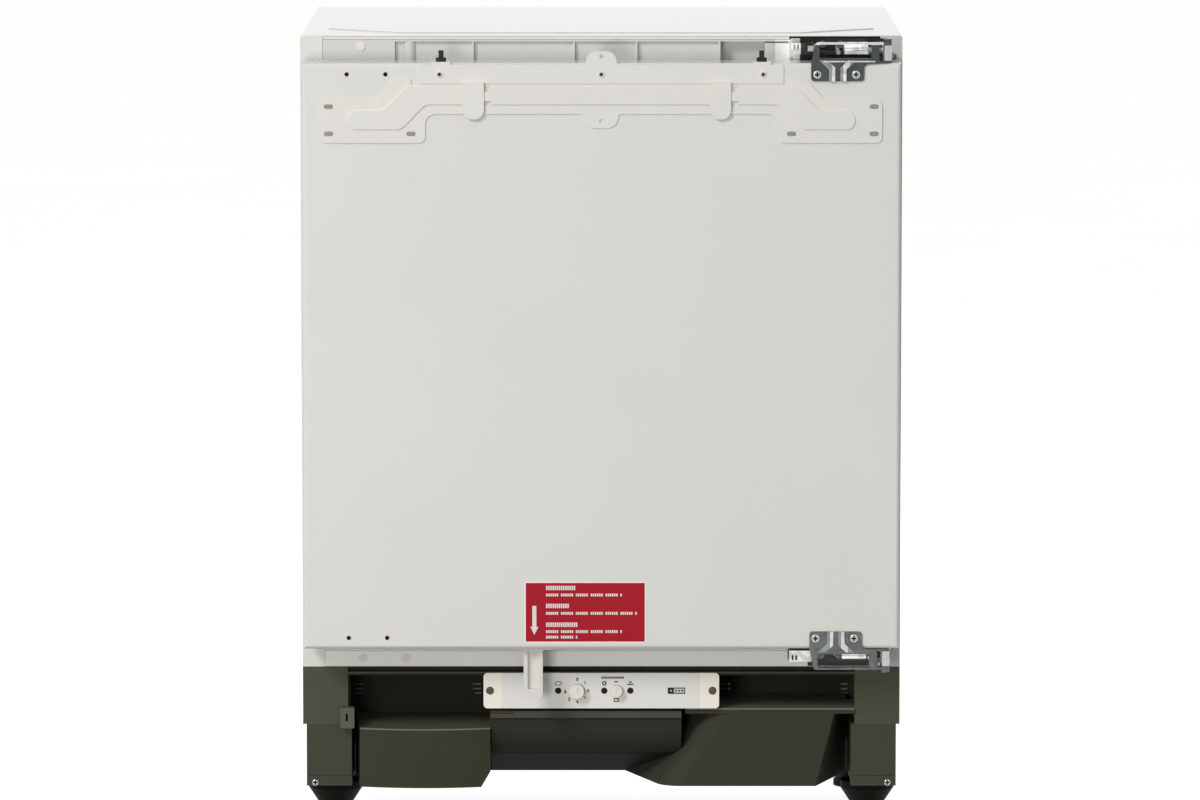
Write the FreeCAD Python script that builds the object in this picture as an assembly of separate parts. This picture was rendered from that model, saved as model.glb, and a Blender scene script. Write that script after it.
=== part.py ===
import FreeCAD, Part
import math
import os

# Built-under freezer for a kitchen niche, with multi-link hinges and decor fittings for a furniture door.
# Working frame in mm: x to the right, y = 0 on the cabinet's front plane and +y into the niche, z = 0 on
# the floor. Each finished solid is then moved along y, so that the origin lies under the object's middle.

V = FreeCAD.Vector

# Overall sizes
WIDTH = 596.0
HEIGHT = 815.0
SHELL_DEPTH = 450.0
BASE_TOP = 183.5
BASE_BOTTOM = 63.0
HALF = WIDTH / 2

# Fits
SLIDE_GAP = 0.3
SEAT_GAP = 0.3
PIN_GAP = 0.05
CUT = 1.0  # how far a cutting tool runs past the face that it opens

# Cabinet wrap, back and bottom sheets
SHEET = 0.8
WRAP_BEND = 3.0
FRONT_FLANGE = 22.0
TOP_FLANGE_SET = 1.2
REAR_RETURN = 12.0
TOP_EMBOSS = 0.8
TOP_EMBOSS_SIDE = 25.0
TOP_EMBOSS_FRONT = 38.0
TOP_EMBOSS_REAR = 20.0
TOP_EMBOSS_CUT_X = 75.0
TOP_EMBOSS_CUT_Y = 62.0
BACK_SHEET = 0.7
BACK_INSET = 2.0
FLOOR_SHEET = 0.7
MACHINE_STEP = 116.5
MACHINE_FRONT = 250.0
MACHINE_RAMP = 35.0
ROOF = HEIGHT - TOP_EMBOSS
MACHINE_ROOF = BASE_TOP + MACHINE_STEP

# Liner
LINER_WALL = 2.0
SIDE_INSULATION = 60.0
FLOOR_INSULATION = 56.5
ROOF_INSULATION = 70.0
REAR_INSULATION = 52.0
STEP_INSULATION = 60.0
LINER_CORNER = 10.0
LEDGE_REACH = 7.0
LEDGE_DROP = 9.0
LEDGE_EDGE = 2.0
CAVITY_HALF = HALF - SIDE_INSULATION
CAVITY_FLOOR = BASE_TOP + FLOOR_INSULATION
CAVITY_ROOF = HEIGHT - ROOF_INSULATION
CAVITY_DEPTH = SHELL_DEPTH - REAR_INSULATION
CAVITY_STEP_Z = MACHINE_ROOF + STEP_INSULATION

# Door
DOOR_SIDE_GAP = 3.2
DOOR_TOP_GAP = 24.0
DOOR_BOTTOM_GAP = 26.5
DOOR_DEPTH = 60.0
DOOR_EDGE_R = 4.0
SKIN = 0.8
DOOR_LINER = 2.0
PLATEAU_GAP = 10.5
PLATEAU_RISE = 8.0
PLATEAU_SLOPE = 4.8
PLATEAU_CORNER = 14.0
GASKET_DEPTH = 15.0
GASKET_INSET = 10.0
GASKET_WIDTH = 13.0
GASKET_FOOT = 5.0
GASKET_FOLD = 6.0
GASKET_NECK = 3.0
GASKET_LIP = 0.5
GASKET_CORNER = 12.0
GASKET_INNER_CORNER = 6.0
GASKET_GAP = 0.7
DOOR_HALF = HALF - DOOR_SIDE_GAP
DOOR_TOP = HEIGHT - DOOR_TOP_GAP
DOOR_BOTTOM = BASE_TOP + DOOR_BOTTOM_GAP
DOOR_FRONT = -DOOR_DEPTH
DOOR_BACK = -GASKET_DEPTH
DOOR_MIDDLE = (DOOR_TOP + DOOR_BOTTOM) / 2

# Screws; those in the door front sit in pairs, for a hinge on either side
SCREW_R = 2.0
SCREW_HOLE_GAP = 0.2
SCREW_LENGTH = 12.0
SCREW_HEAD_R = 4.3
SCREW_HEAD = 2.4
SCREW_ROUND = 1.4
SCREW_CROSS_REACH = 2.1
SCREW_CROSS = 1.0
SCREW_CROSS_DEPTH = 1.2
SEAT_SCREW_LENGTH = 8.0
HINGE_SCREW_PITCH = 38.0
HINGE_SCREW_SIDE = 44.8
HINGE_SCREW_EDGE = 11.0
SCREW_HOLE_R = SCREW_R + SCREW_HOLE_GAP
SCREW_X = (DOOR_HALF - HINGE_SCREW_SIDE, DOOR_HALF - HINGE_SCREW_SIDE - HINGE_SCREW_PITCH)

# Multi-link hinge: four pivots, seen from above, and the stack of plates over the door's top edge
LEAF = 2.0
MAIN_PIVOT_SIDE = 26.11
MAIN_PIVOT_OUT = 33.21
BARREL_SIDE = 14.14
BARREL_BEHIND_FRONT = 4.40
GUIDE_PIVOT_SIDE = 16.60
GUIDE_PIVOT_OUT = 42.82
GUIDE_END_SIDE = 8.36
GUIDE_END_OUT = 19.12
LINK_GAP = 0.4
GUIDE_ARM = 3.6
SHELF = 3.0
MAIN_ARM = 4.0
LUG = 3.0
LUG_HEEL = 2.0
HINGE_HEIGHT = 20.6
PIVOT_PIN_R = 2.0
GUIDE_PLAY = 0.5
EYE_R = 5.0
SHELF_NOSE_R = 4.9
BARREL_R = 4.6
BARREL_GRIP = 3.7
BARREL_RISE = 3.0
ARM_WIDTH = 8.0
FRAME_EDGE = 6.0
FRAME_WIDTH = 67.0
FRAME_SLANT = 4.5
FRAME_BAR = 8.0
FRAME_SILL = 5.0
FRAME_HEAD = 2.2
WINDOW_CORNER = 1.5
EAR_WIDTH = 52.0
EAR_DROP = 17.7
EAR_CORNER = 3.0
EAR_NECK = 6.0
RIB_RISE = 2.2
RIB_WIDTH = 6.0
RIB_GAP = 5.0
RIB_TOP = 3.0
RIB_BEND_IN = 4.0
RIB_BEND_OUT = 6.0
RIB_FLARE_IN = 8.0
RIB_FLARE_OUT = 10.0
RIB_CORNER = 4.0
TAIL_WIDTH = 12.0
TAIL_CORNER = 4.0
TAIL_BEND = 8.0
SEAT_LEFT = 108.8
SEAT_RIGHT = 10.0
SEAT_LIP = 1.0
SEAT_SCREW_SIDE = (76.0, 58.0)
SEAT_SCREW_CLEAR = 0.5
ARM_BOX_WIDTH = 22.0
ARM_BOX_WALL = 1.5
ARM_BOX_SLOT = 1.8
ARM_BOX_SLOT_EDGE = 2.4
ARM_BOX_SLOT_PITCH = 3.6
ARM_BOX_SLOT_MARGIN = 1.5
SPRING_R = 3.6
SPRING_LENGTH = 24.0
SPRING_OUT = 20.0
SPRING_SINK = 0.4
MAIN_PIVOT = (DOOR_HALF - MAIN_PIVOT_SIDE, -MAIN_PIVOT_OUT)
BARREL = (DOOR_HALF - BARREL_SIDE, DOOR_FRONT + BARREL_BEHIND_FRONT)
GUIDE_PIVOT = (DOOR_HALF - GUIDE_PIVOT_SIDE, -GUIDE_PIVOT_OUT)
GUIDE_END = (DOOR_HALF - GUIDE_END_SIDE, -GUIDE_END_OUT)
TAIL_TOP = DOOR_TOP + LEAF
GUIDE_LOW = TAIL_TOP + LINK_GAP
GUIDE_TOP = GUIDE_LOW + GUIDE_ARM
SHELF_LOW = GUIDE_TOP + LINK_GAP
SHELF_TOP = SHELF_LOW + SHELF
MAIN_LOW = SHELF_TOP + LINK_GAP
MAIN_TOP = MAIN_LOW + MAIN_ARM
HINGE_TOP = DOOR_TOP + HINGE_HEIGHT
LUG_LOW = HINGE_TOP - LUG
FRAME_LEFT = SCREW_X[1] - FRAME_EDGE
SEAT_START = DOOR_HALF - SEAT_LEFT
SEAT_SCREW_X = [DOOR_HALF - side for side in SEAT_SCREW_SIDE]
SEAT_SCREW_Z = SHELF_TOP + SCREW_HEAD_R + SEAT_SCREW_CLEAR

# Front rails of the cabinet
RAIL_HEIGHT = 23.5
RAIL_DROP = 5.0
RAIL_DEPTH = 20.0
RAIL_WALL = 1.6
RAIL_LEFT_FACE = 93.0
RAIL_RIB_MIDDLE = (-127.0, -27.0, 35.0, 117.0)
RAIL_SHALLOW = 5.0
RAIL_SHALLOW_BAYS = (0, 1, 2, 3)
RAIL_BOSS_EDGE = 15.0
RAIL_BOSS_R = 6.5
RAIL_BLOCK_WIDTH = 24.0
RAIL_BLOCK_FRONT = 3.2
RAIL_BLOCK_HEAD = 3.2
BOTTOM_RAIL_HEIGHT = 15.5
BOTTOM_RAIL_DEPTH = 10.0
BOTTOM_RAIL_WALL = 1.2
BOTTOM_RAIL_LIP = 1.6
BOTTOM_RAIL_LIP_OUT = 1.0
CAP_SIDE = (60.0, 103.0)
CAP_DROP = 6.0
CAP_R = 4.5
CAP_HEAD = 1.2
CAP_STEM_R = 2.0
CAP_STEM = 4.0
RAIL_HALF = HALF - FRONT_FLANGE - SEAT_GAP
RAIL_TOP = HEIGHT - RAIL_DROP
RAIL_BOTTOM = RAIL_TOP - RAIL_HEIGHT
RAIL_RIB_X = (RAIL_LEFT_FACE - HALF,) + RAIL_RIB_MIDDLE + (SEAT_START,)
BOTTOM_RAIL_LOW = BASE_TOP + FLOOR_SHEET
BOTTOM_RAIL_TOP = BOTTOM_RAIL_LOW + BOTTOM_RAIL_HEIGHT
CAP_X = [side - HALF for side in CAP_SIDE]
CAP_TOP_Z = RAIL_TOP - CAP_DROP
CAP_LOW_Z = (BOTTOM_RAIL_LOW + BOTTOM_RAIL_TOP) / 2
CAP_PLACES = [(CAP_X[0], CAP_TOP_Z)] + [(x, CAP_LOW_Z) for x in CAP_X]

# Decor fittings on the door front: a fixed rail, and a carrier that slides behind the rail's tongues
DECOR_SHEET = 1.2
CARRIER_SLIDE = 6.0
WING_SIDE = 18.8
WING_WIDTH = 103.0
WING_SHOULDER = 57.0
ARM_KNEE = 72.0
ARM_TOP = 89.0
CARRIER_TOP_DROP = 21.5
CARRIER_LOW_DROP = 50.0
CARRIER_EAR_HALF = 16.5
CARRIER_EAR_DROP = 14.0
CARRIER_EAR_R = 11.0
CARRIER_EAR_HOLE = 7.0
CARRIER_BEAD = 1.5
BEAD_TOP_DROP = 23.0
BEAD_HEIGHT = 17.5
BEAD_CORNER = 10.0
BEAD_END_R = 8.0
BEAD_TOP_LEAD = 18.0
BEAD_LOW_LEAD = 24.0
BEAD_WING_LEAD = 34.0
WING_BEAD_END = 27.0
WING_BEAD_TOP_DROP = 47.0
WING_BEAD_LOW_DROP = 65.0
WING_TOP_DROP = 36.0
WING_LOW_DROP = 78.5
WING_CORNER = 6.0
WING_NECK = 10.0
ARM_KNEE_DROP = 18.0
ARM_TOP_DROP = 14.0
ARM_CORNER = 2.0
ARM_BEND = 8.0
SLOT_R = 2.25
SLOT_LENGTH = 9.0
SLOT_OUT = 8.0
SLOT_IN = 89.0
SLOT_HIGH_DROP = 42.7
SLOT_LOW_DROP = 69.5
NOTCH_WIDTH = 6.5
NOTCH_HEIGHT = 4.6
NOTCH_DIP = 1.3
DECOR_RAIL_GAP = 2.0
DECOR_RAIL_DROP = 1.3
DECOR_RAIL_HEIGHT = 18.7
DECOR_RAIL_CORNER = 2.0
DECOR_SCREW_EDGE = 20.0
DECOR_SCREW_R = 3.4
DECOR_SCREW_HEAD = 1.0
DECOR_SCREW_ROUND = 0.6
DECOR_SCREW_LENGTH = 10.0
DECOR_SOCKET_R = 1.6
DECOR_SOCKET = 2.6
DECOR_EAR_HALF = 15.0
DECOR_EAR_RISE = 13.0
DECOR_EAR_R = 10.0
DECOR_EAR_NECK = 3.0
DECOR_EAR_HOLE_R = 2.0
DECOR_EAR_HOLE = 5.0
TONGUE_X = (-125.8, 117.0)
TONGUE_WIDTH = 21.0
TONGUE_DROP = 35.0
TONGUE_R = 9.5
STUD_EDGE = 21.5
STUD_R = 2.5
STUD_HEIGHT = 11.0
STUD_NUT_R = 5.0
STUD_NUT = 4.0
STUD_TAB = 12.0
STUD_TAB_WIDTH = 18.0
STUD_TAB_CORNER = 4.0
WING_OUT = DOOR_HALF - WING_SIDE
WING_IN = WING_OUT - WING_WIDTH
ARM_TOP_X = WING_OUT - ARM_TOP
DECOR_RAIL_HALF = ARM_TOP_X - CARRIER_SLIDE - DECOR_RAIL_GAP
DECOR_TOP = DOOR_TOP - DECOR_RAIL_DROP
DECOR_LOW = DECOR_TOP - DECOR_RAIL_HEIGHT
DECOR_SCREW_X = (DECOR_SCREW_EDGE - DECOR_RAIL_HALF, 0.0, DECOR_RAIL_HALF - DECOR_SCREW_EDGE)
DECOR_SCREW_Z = DOOR_TOP - HINGE_SCREW_EDGE
DECOR_FRONT = DOOR_FRONT - DECOR_SHEET
STUD_X = DECOR_RAIL_HALF - STUD_EDGE
CARRIER_BACK = DOOR_FRONT - SLIDE_GAP
CARRIER_FRONT = CARRIER_BACK - DECOR_SHEET
BEAD_FRONT = CARRIER_FRONT - CARRIER_BEAD
TONGUE_BACK = BEAD_FRONT - SLIDE_GAP
TONGUE_FRONT = TONGUE_BACK - DECOR_SHEET

# Alarm magnet arm under the door: a channel open to the front, with the magnet let in from behind
ALARM_X = -67.6
ALARM_WIDTH = 19.0
ALARM_DROP = 51.0
ALARM_DEPTH = 14.0
ALARM_BACK = -34.0
ALARM_CORNER = 4.0
ALARM_GROOVE_WIDTH = 11.0
ALARM_GROOVE = 5.0
ALARM_GROOVE_END = 9.0
ALARM_FLANGE = 45.0
ALARM_FLANGE_THICK = 3.0
ALARM_FLANGE_SLOPE = 3.0
MAGNET_WIDTH = 12.0
MAGNET_HEIGHT = 14.0
MAGNET_DEPTH = 5.0
MAGNET_RISE = 6.0
ALARM_FRONT = ALARM_BACK - ALARM_DEPTH
ALARM_LOW = DOOR_BOTTOM - ALARM_DROP

# Control panel
PANEL_HALF = 117.5
PANEL_HEIGHT = 35.6
PANEL_TOP_DROP = 5.5
PANEL_FRONT = -8.0
PANEL_THICK = 3.0
PANEL_CORNER = 4.0
PANEL_GROOVE_X = 98.0
PANEL_GROOVE = 1.0
PANEL_GROOVE_DEPTH = 0.5
PANEL_SCREW_X = 111.0
PANEL_SCREW_R = 3.8
PANEL_SCREW_SINK = 1.0
DIAL_X = -24.5
DIAL_R = 7.6
DIAL_DEPTH = 9.0
SELECTOR_X = 15.0
SELECTOR_R = 6.3
SELECTOR_DEPTH = 7.0
KNOB_EDGE = 1.0
KNOB_SHAFT_R = 3.0
KNOB_SHAFT = 9.0
POINTER_HALF = 1.0
POINTER_RISE = 0.8
POINTER_EDGE = 1.5
LENS_X = (-43.0, 3.0, 29.0)
LENS_R = 2.3
LENS_PROUD = 0.8
HOUSING_HALF = 116.0
HOUSING_INSET = 2.5
HOUSING_WALL = 2.0
HOUSING_DEPTH = 60.0
HOUSING_WINDOW = 18.0
HOUSING_WINDOW_EDGE = 4.0
BOARD_THICK = 1.6
SWITCH_DEPTH = 22.0
SWITCH_HALF_HEIGHT = 11.0
THERMOSTAT_HALF = 13.0
SELECTOR_HALF = 9.0
PANEL_TOP = BASE_TOP - PANEL_TOP_DROP
PANEL_LOW = PANEL_TOP - PANEL_HEIGHT
PANEL_MIDDLE = (PANEL_TOP + PANEL_LOW) / 2
PANEL_BACK = PANEL_FRONT + PANEL_THICK
HOUSING_LOW = PANEL_LOW + HOUSING_INSET

# Moulded base
BASE_WALL = 3.0
BASE_DEPTH = 430.0
LEG_STEP = 58.0
LEG_IN = 45.0
LEG_LOW_SHIFT = 3.5
LEG_DEPTH = 90.0
LEG_GROOVE_RISE = 10.0
LEG_GROOVE = 0.8
LEG_SCREW_SIDE = 12.0
LEG_SCREW_RISE = 3.6
LEG_SCREW_R = 3.4
LEG_SCREW_LENGTH = 6.0
RUNNER_RISE = 32.0
RUNNER_LAP = 6.0
WEB_INSET = 1.0
WEB_FOOT = 8.0
DECK_THICK = 3.0
DECK_LIP = 3.3
DECK_LIP_OUT = 2.0
DECK_LIP_EDGE = 1.0
DECK_SET_BACK = 10.0
DECK_SHADOW = 5.2
VENT_WALL_Y = 95.0
LOUVRE_LEG_EDGE = 8.0
LOUVRE_PANEL_EDGE = 8.0
LOUVRE_WIDTH = 8.0
LOUVRE_SLOT = 2.4
LOUVRE_PITCH = 4.6
LOUVRE_COUNT = 3
LOUVRE_HOOD = 1.2
LOUVRE_HOOD_DEPTH = 5.0
LOUVRE_HOOD_DROP = 1.0
LOUVRE_DROP = 31.5
SCOOP_SIDE = 12.0
SCOOP_RIGHT = -111.0
SCOOP_SHELF = 122.5
SCOOP_FRONT = -6.0
SCOOP_BOW = 10.1
SCOOP_NIP_X = 9.0
SCOOP_NIP_Z = 15.0
SCOOP_EDGE = 1.2
RECESS_RIGHT = 80.0
RECESS_TOP = 139.0
RECESS_LIP = 7.0
RECESS_WALL_DROP = 38.0
RECESS_CURVE = 40.0
RECESS_LIP_OUT = 3.0
RECESS_KNEE = 1.8
RECESS_NOTCH = 23.0
RECESS_NOTCH_DROP = 3.0
CHUTE_SHELF = 141.8
CHUTE_LIP = 5.5
CHUTE_LIP_LEFT = 84.0
CHUTE_SHELF_DEPTH = 60.0
CHUTE_FRONT = -3.0
CHUTE_TOP_LEFT = 117.0
CHUTE_LOW_LEFT = 62.0
CHUTE_TOP_SIDE = 19.0
CHUTE_LOW_SIDE = 39.0
CHUTE_SWEEP = 38.0
CHUTE_ROUND = 26.0
CLIP_WIDTH = 14.0
CLIP_HEIGHT = 20.5
CLIP_DEPTH = 12.0
CLIP_WALL = 2.5
CLIP_CORNER = 1.2
CLIP_LAP = 7.5
CLIP_SLOT = 2.0
CLIP_SLOT_X = 5.5
CLIP_SLOT_LOW = 7.0
CLIP_SLOT_HEIGHT = 8.0
DECK_LOW = BASE_TOP - DECK_THICK
DECK_LIP_TOP = BASE_TOP - DECK_SHADOW
DECK_LIP_LOW = DECK_LIP_TOP - DECK_LIP
LEG_STEP_Z = BASE_TOP - LEG_STEP
LEG_IN_X = HALF - LEG_IN
LEG_LOW_OUT = HALF - LEG_LOW_SHIFT
LEG_LOW_IN = LEG_IN_X - LEG_LOW_SHIFT
LEG_SCREW_X = HALF - LEG_SCREW_SIDE
LEG_SCREW_Z = BASE_BOTTOM + LEG_SCREW_RISE
LOUVRE_X = (LOUVRE_LEG_EDGE - LEG_IN_X, -PANEL_HALF - LOUVRE_PANEL_EDGE,
            PANEL_HALF + LOUVRE_PANEL_EDGE, LEG_IN_X - LOUVRE_LEG_EDGE)
LOUVRE_TOP = BASE_TOP - LOUVRE_DROP
SCOOP_LEFT = SCOOP_SIDE - LEG_IN_X
RECESS_LEFT = SCOOP_RIGHT + SEAT_GAP
CHUTE_TOP_RIGHT = LEG_IN_X - CHUTE_TOP_SIDE
CHUTE_LOW_RIGHT = LEG_IN_X - CHUTE_LOW_SIDE

# Feet
FOOT_SIDE = 31.0
FOOT_END = 42.0
FOOT_COLLAR_R = 27.0
FOOT_COLLAR = 7.0
FOOT_NECK_R = 14.0
FOOT_TAPER = 20.0
FOOT_PAD_R = 23.0
FOOT_PAD = 6.0
FOOT_FLARE = 8.0
FOOT_STEM_R = 7.0
FOOT_STEM = 82.0
FOOT_BOSS_WALL = 4.0
FOOT_X = HALF - FOOT_SIDE
FOOT_REAR_Y = BASE_DEPTH - FOOT_END

# Drawers and evaporator shelves
LOWER_BAY = 165.0
MIDDLE_BAY = 173.0
EVAPORATOR_SHEET = 1.2
EVAPORATOR_TUBE_R = 3.5
EVAPORATOR_TUBE_SINK = 0.3
EVAPORATOR_PASSES = 5
EVAPORATOR_MARGIN = 26.0
EVAPORATOR_FRONT = 26.0
BEND_SHARE = 0.45  # bend radius of a serpentine tube, as a share of the pitch of its passes
DRAWER_COUNT = 3
DRAWER_SIDE_GAP = 9.0
DRAWER_FRONT_GAP = 4.5
DRAWER_WALL = 2.0
DRAWER_FLOOR_GAP = 0.3
DRAWER_HEAD_GAP = 5.0
DRAWER_REAR_GAP = 8.0
DRAWER_FRONT_Y = 5.0
DRAWER_FRONT = 9.0
DRAWER_TAPER = 5.0
DRAWER_RIM_DROP = 14.0
DRAWER_CORNER = 3.0
DRAWER_EDGE = 1.5
GRIP_HEIGHT = 22.0
GRIP_REACH = 4.0
GRIP_LIP = 9.0
GRIP_CORNER = 2.0
FINGER_HALF = 70.0
FINGER_LOW = 22.0
FINGER_HIGH = 5.5
FINGER_WALL = 3.6
FINGER_CORNER = 4.0
SHELF_Z = (CAVITY_FLOOR + LOWER_BAY, CAVITY_FLOOR + LOWER_BAY + MIDDLE_BAY)

# Cooling circuit
PLATE_Z = 78.0
PLATE_THICK = 2.0
PLATE_LIP = 14.0
PLATE_FRONT = 292.0
MOUNT_R = 10.0
MOUNT_WAIST_R = 7.0
MOUNT_HEIGHT = 14.0
MOUNT_FLANGE = 4.0
MOUNT_X = 88.0
MOUNT_Y = 52.0
POT_X = -30.0
POT_BACK = 64.0
POT_R = 66.0
POT_HEIGHT = 165.0
POT_DOME = 42.0
POT_CROWN_R = 12.0
POT_FLOOR_R = 36.0
POT_SEAM = 3.0
POT_SEAM_DROP = 8.0
POT_FOOT = 3.0
POT_SINK = 0.5
POT_STUB = 26.0
POT_STUB_DIP = 9.0
TERMINAL_SIZE = (44.0, 62.0, 66.0)
TERMINAL_CORNER = 4.0
CONDENSER_OUT = 30.0
CONDENSER_TUBE_R = 2.5
CONDENSER_PASSES = 9
CONDENSER_SIDE = 58.0
CONDENSER_LOW = 40.0
CONDENSER_HEAD = 50.0
WIRE_R = 0.8
WIRE_COUNT = 22
WIRE_OVERHANG = 12.0
WIRE_SIDE = 6.0
BRACKET_WIDTH = 14.0
BRACKET_HALF_HEIGHT = 8.0
BRACKET_BACK_OFF = 1.0
HOOK_HALF = 1.2
PIPE_R = 2.5
PIPE_BEND = 9.0
PIPE_RISE = 14.0
PIPE_HIGH_RISE = 22.4
PIPE_SIDE = 18.0
PIPE_STANDOFF = 12.0
PIPE_INSET = 14.0
PIPE_ENTRY_X = 150.0
PIPE_ENTRY_RISE = 22.0
PIPE_ENTRY = 14.0
CAPILLARY_R = 1.2
CAPILLARY_PITCH = 40.0
DRIER_X = 150.0
DRIER_RISE = 60.0
DRIER_R = 9.0
DRIER_NECK_R = 4.0
DRIER_NECK = 6.0
DRIER_SHOULDER = 16.0
DRIER_LENGTH = 90.0
GLAND_R = 9.0
GLAND_BODY_R = 7.0
GLAND_BORE = 4.0
GLAND_LENGTH = 12.0
GLAND_FLANGE = 4.8
GLAND_Z = 150.0
PLATE_TOP = PLATE_Z + PLATE_THICK
POT_LOW = PLATE_TOP + MOUNT_HEIGHT
POT_TOP = POT_LOW + POT_HEIGHT
POT_Y = BASE_DEPTH - POT_BACK
BACK_FACE = SHELL_DEPTH + BACK_SHEET
CONDENSER_Y = BACK_FACE + CONDENSER_OUT
CONDENSER_HALF = HALF - CONDENSER_SIDE
CONDENSER_TOP = ROOF - CONDENSER_HEAD
CONDENSER_PITCH = (CONDENSER_TOP - MACHINE_ROOF - CONDENSER_LOW) / (CONDENSER_PASSES - 1)
CONDENSER_BEND = CONDENSER_PITCH * BEND_SHARE
PIPE_Y = SHELL_DEPTH - PIPE_INSET
PIPE_ENTRY_Z = MACHINE_ROOF + PIPE_ENTRY_RISE
CAPILLARY_X = PIPE_ENTRY_X + CAPILLARY_PITCH
DRIER_Z = PLATE_TOP + DRIER_RISE
DRIER_TOP = DRIER_Z + DRIER_LENGTH

REAR_Y = CONDENSER_Y + CONDENSER_TUBE_R + PIN_GAP + 2 * WIRE_R
Y_SHIFT = -(TONGUE_FRONT + REAR_Y) / 2

NORMAL = {"xy": V(0, 0, 1), "xz": V(0, 1, 0), "yz": V(1, 0, 0)}
INWARD = (0, 1, 0)
UPWARD = (0, 0, 1)


def at(plane, u, v, w):
    """Point with coordinates u, v in a plane and w along its normal."""
    return {"xy": V(u, v, w), "xz": V(u, w, v), "yz": V(w, u, v)}[plane]


def rounded_edges(corners, closed):
    """Straight edges through corners, each corner a point and a radius, with tangent arcs at the radii."""
    count = len(corners)
    entry, leave, middle = [], [], []
    for i, (point, radius) in enumerate(corners):
        inner = closed or 0 < i < count - 1
        if not inner or radius <= 0:
            entry.append(point)
            leave.append(point)
            middle.append(None)
            continue
        back = (corners[i - 1][0] - point).normalize()
        ahead = (corners[(i + 1) % count][0] - point).normalize()
        half = back.getAngle(ahead) / 2
        reach = radius / math.tan(half)
        bisector = (back + ahead).normalize()
        centre = point + bisector * (radius / math.sin(half))
        entry.append(point + back * reach)
        leave.append(point + ahead * reach)
        middle.append(centre - bisector * radius)
    edges = []
    for i in range(count):
        if middle[i] is not None:
            edges.append(Part.Arc(entry[i], middle[i], leave[i]).toShape())
        if closed or i < count - 1:
            start, end = leave[i], entry[(i + 1) % count]
            if start.distanceToPoint(end) > 1e-6:
                edges.append(Part.LineSegment(start, end).toShape())
    return edges


def outline(points, plane, level):
    """Closed wire through (u, v) or (u, v, radius) corners."""
    corners = [(at(plane, p[0], p[1], level), p[2] if len(p) > 2 else 0.0) for p in points]
    return Part.Wire(rounded_edges(corners, True))


def prism(points, plane, low, high):
    """Outline drawn in a plane and extruded along its normal from low to high."""
    face = Part.Face(outline(points, plane, low))
    return face.extrude(NORMAL[plane] * (high - low))


def box(x0, x1, y0, y1, z0, z1):
    return Part.makeBox(x1 - x0, y1 - y0, z1 - z0, V(x0, y0, z0))


def rod(radius, start, direction, length):
    return Part.makeCylinder(radius, length, V(*start), V(*direction))


def bore(radius, x, z, front, depth):
    """Round hole along y, cut from a face at front."""
    return rod(radius, (x, front - CUT, z), INWARD, depth + CUT)


def rectangle(u0, u1, v0, v1, radius=0.0):
    """Corners of a rectangle with one corner radius."""
    return [(u0, v0, radius), (u1, v0, radius), (u1, v1, radius), (u0, v1, radius)]


def mirrored(points):
    """Outline corners on the other side of x = 0, in reverse order."""
    return [(-p[0],) + tuple(p[1:]) for p in reversed(points)]


def tube(points, bend, radius):
    """Round bar along straight runs joined by tangent arcs of one bend radius."""
    corners = [(V(*p), bend) for p in points]
    path = Part.Wire(rounded_edges(corners, False))
    start, ahead = corners[0][0], corners[1][0] - corners[0][0]
    section = Part.Wire(Part.Circle(start, ahead, radius).toShape())
    return path.makePipeShell([section], True, False)


def serpentine(reach, rows):
    """Points of a tube that runs from side to side, one pass at each (y, z) row."""
    points = []
    for k, (y, z) in enumerate(rows):
        side = 1 if k % 2 else -1
        points += [(side * reach, y, z), (-side * reach, y, z)]
    return points


def revolved(profile, x, y):
    """Solid of revolution about a vertical axis, from (radius, z) corners."""
    solid = Part.Face(outline(profile, "xz", 0.0)).revolve(V(0, 0, 0), V(*UPWARD), 360)
    solid.translate(V(x, y, 0))
    return solid


def loft(wires):
    """Ruled solid through wires, with its faces turned outwards."""
    solid = Part.makeLoft(wires, True, True)
    return solid if solid.Volume > 0 else solid.reversed()


def join(first, *others):
    return first.fuse(list(others)).removeSplitter()


def mirror_x(shape):
    return shape.mirror(V(0, 0, 0), V(1, 0, 0))


def pair(shape):
    """A piece and its mirror image across the middle plane, as separate solids."""
    return Part.makeCompound([shape, mirror_x(shape)])


def ends(*shapes):
    """Hinge pieces drawn at the door's top edge, and the same at its bottom edge."""
    low = [s.mirror(V(0, 0, DOOR_MIDDLE), V(*UPWARD)) for s in shapes]
    return Part.makeCompound(list(shapes) + low)


def front_edges(solid, y):
    return [e for e in solid.Edges if abs(e.BoundBox.YMin - y) < 1e-6 and abs(e.BoundBox.YMax - y) < 1e-6]


# Cabinet shell

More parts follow.
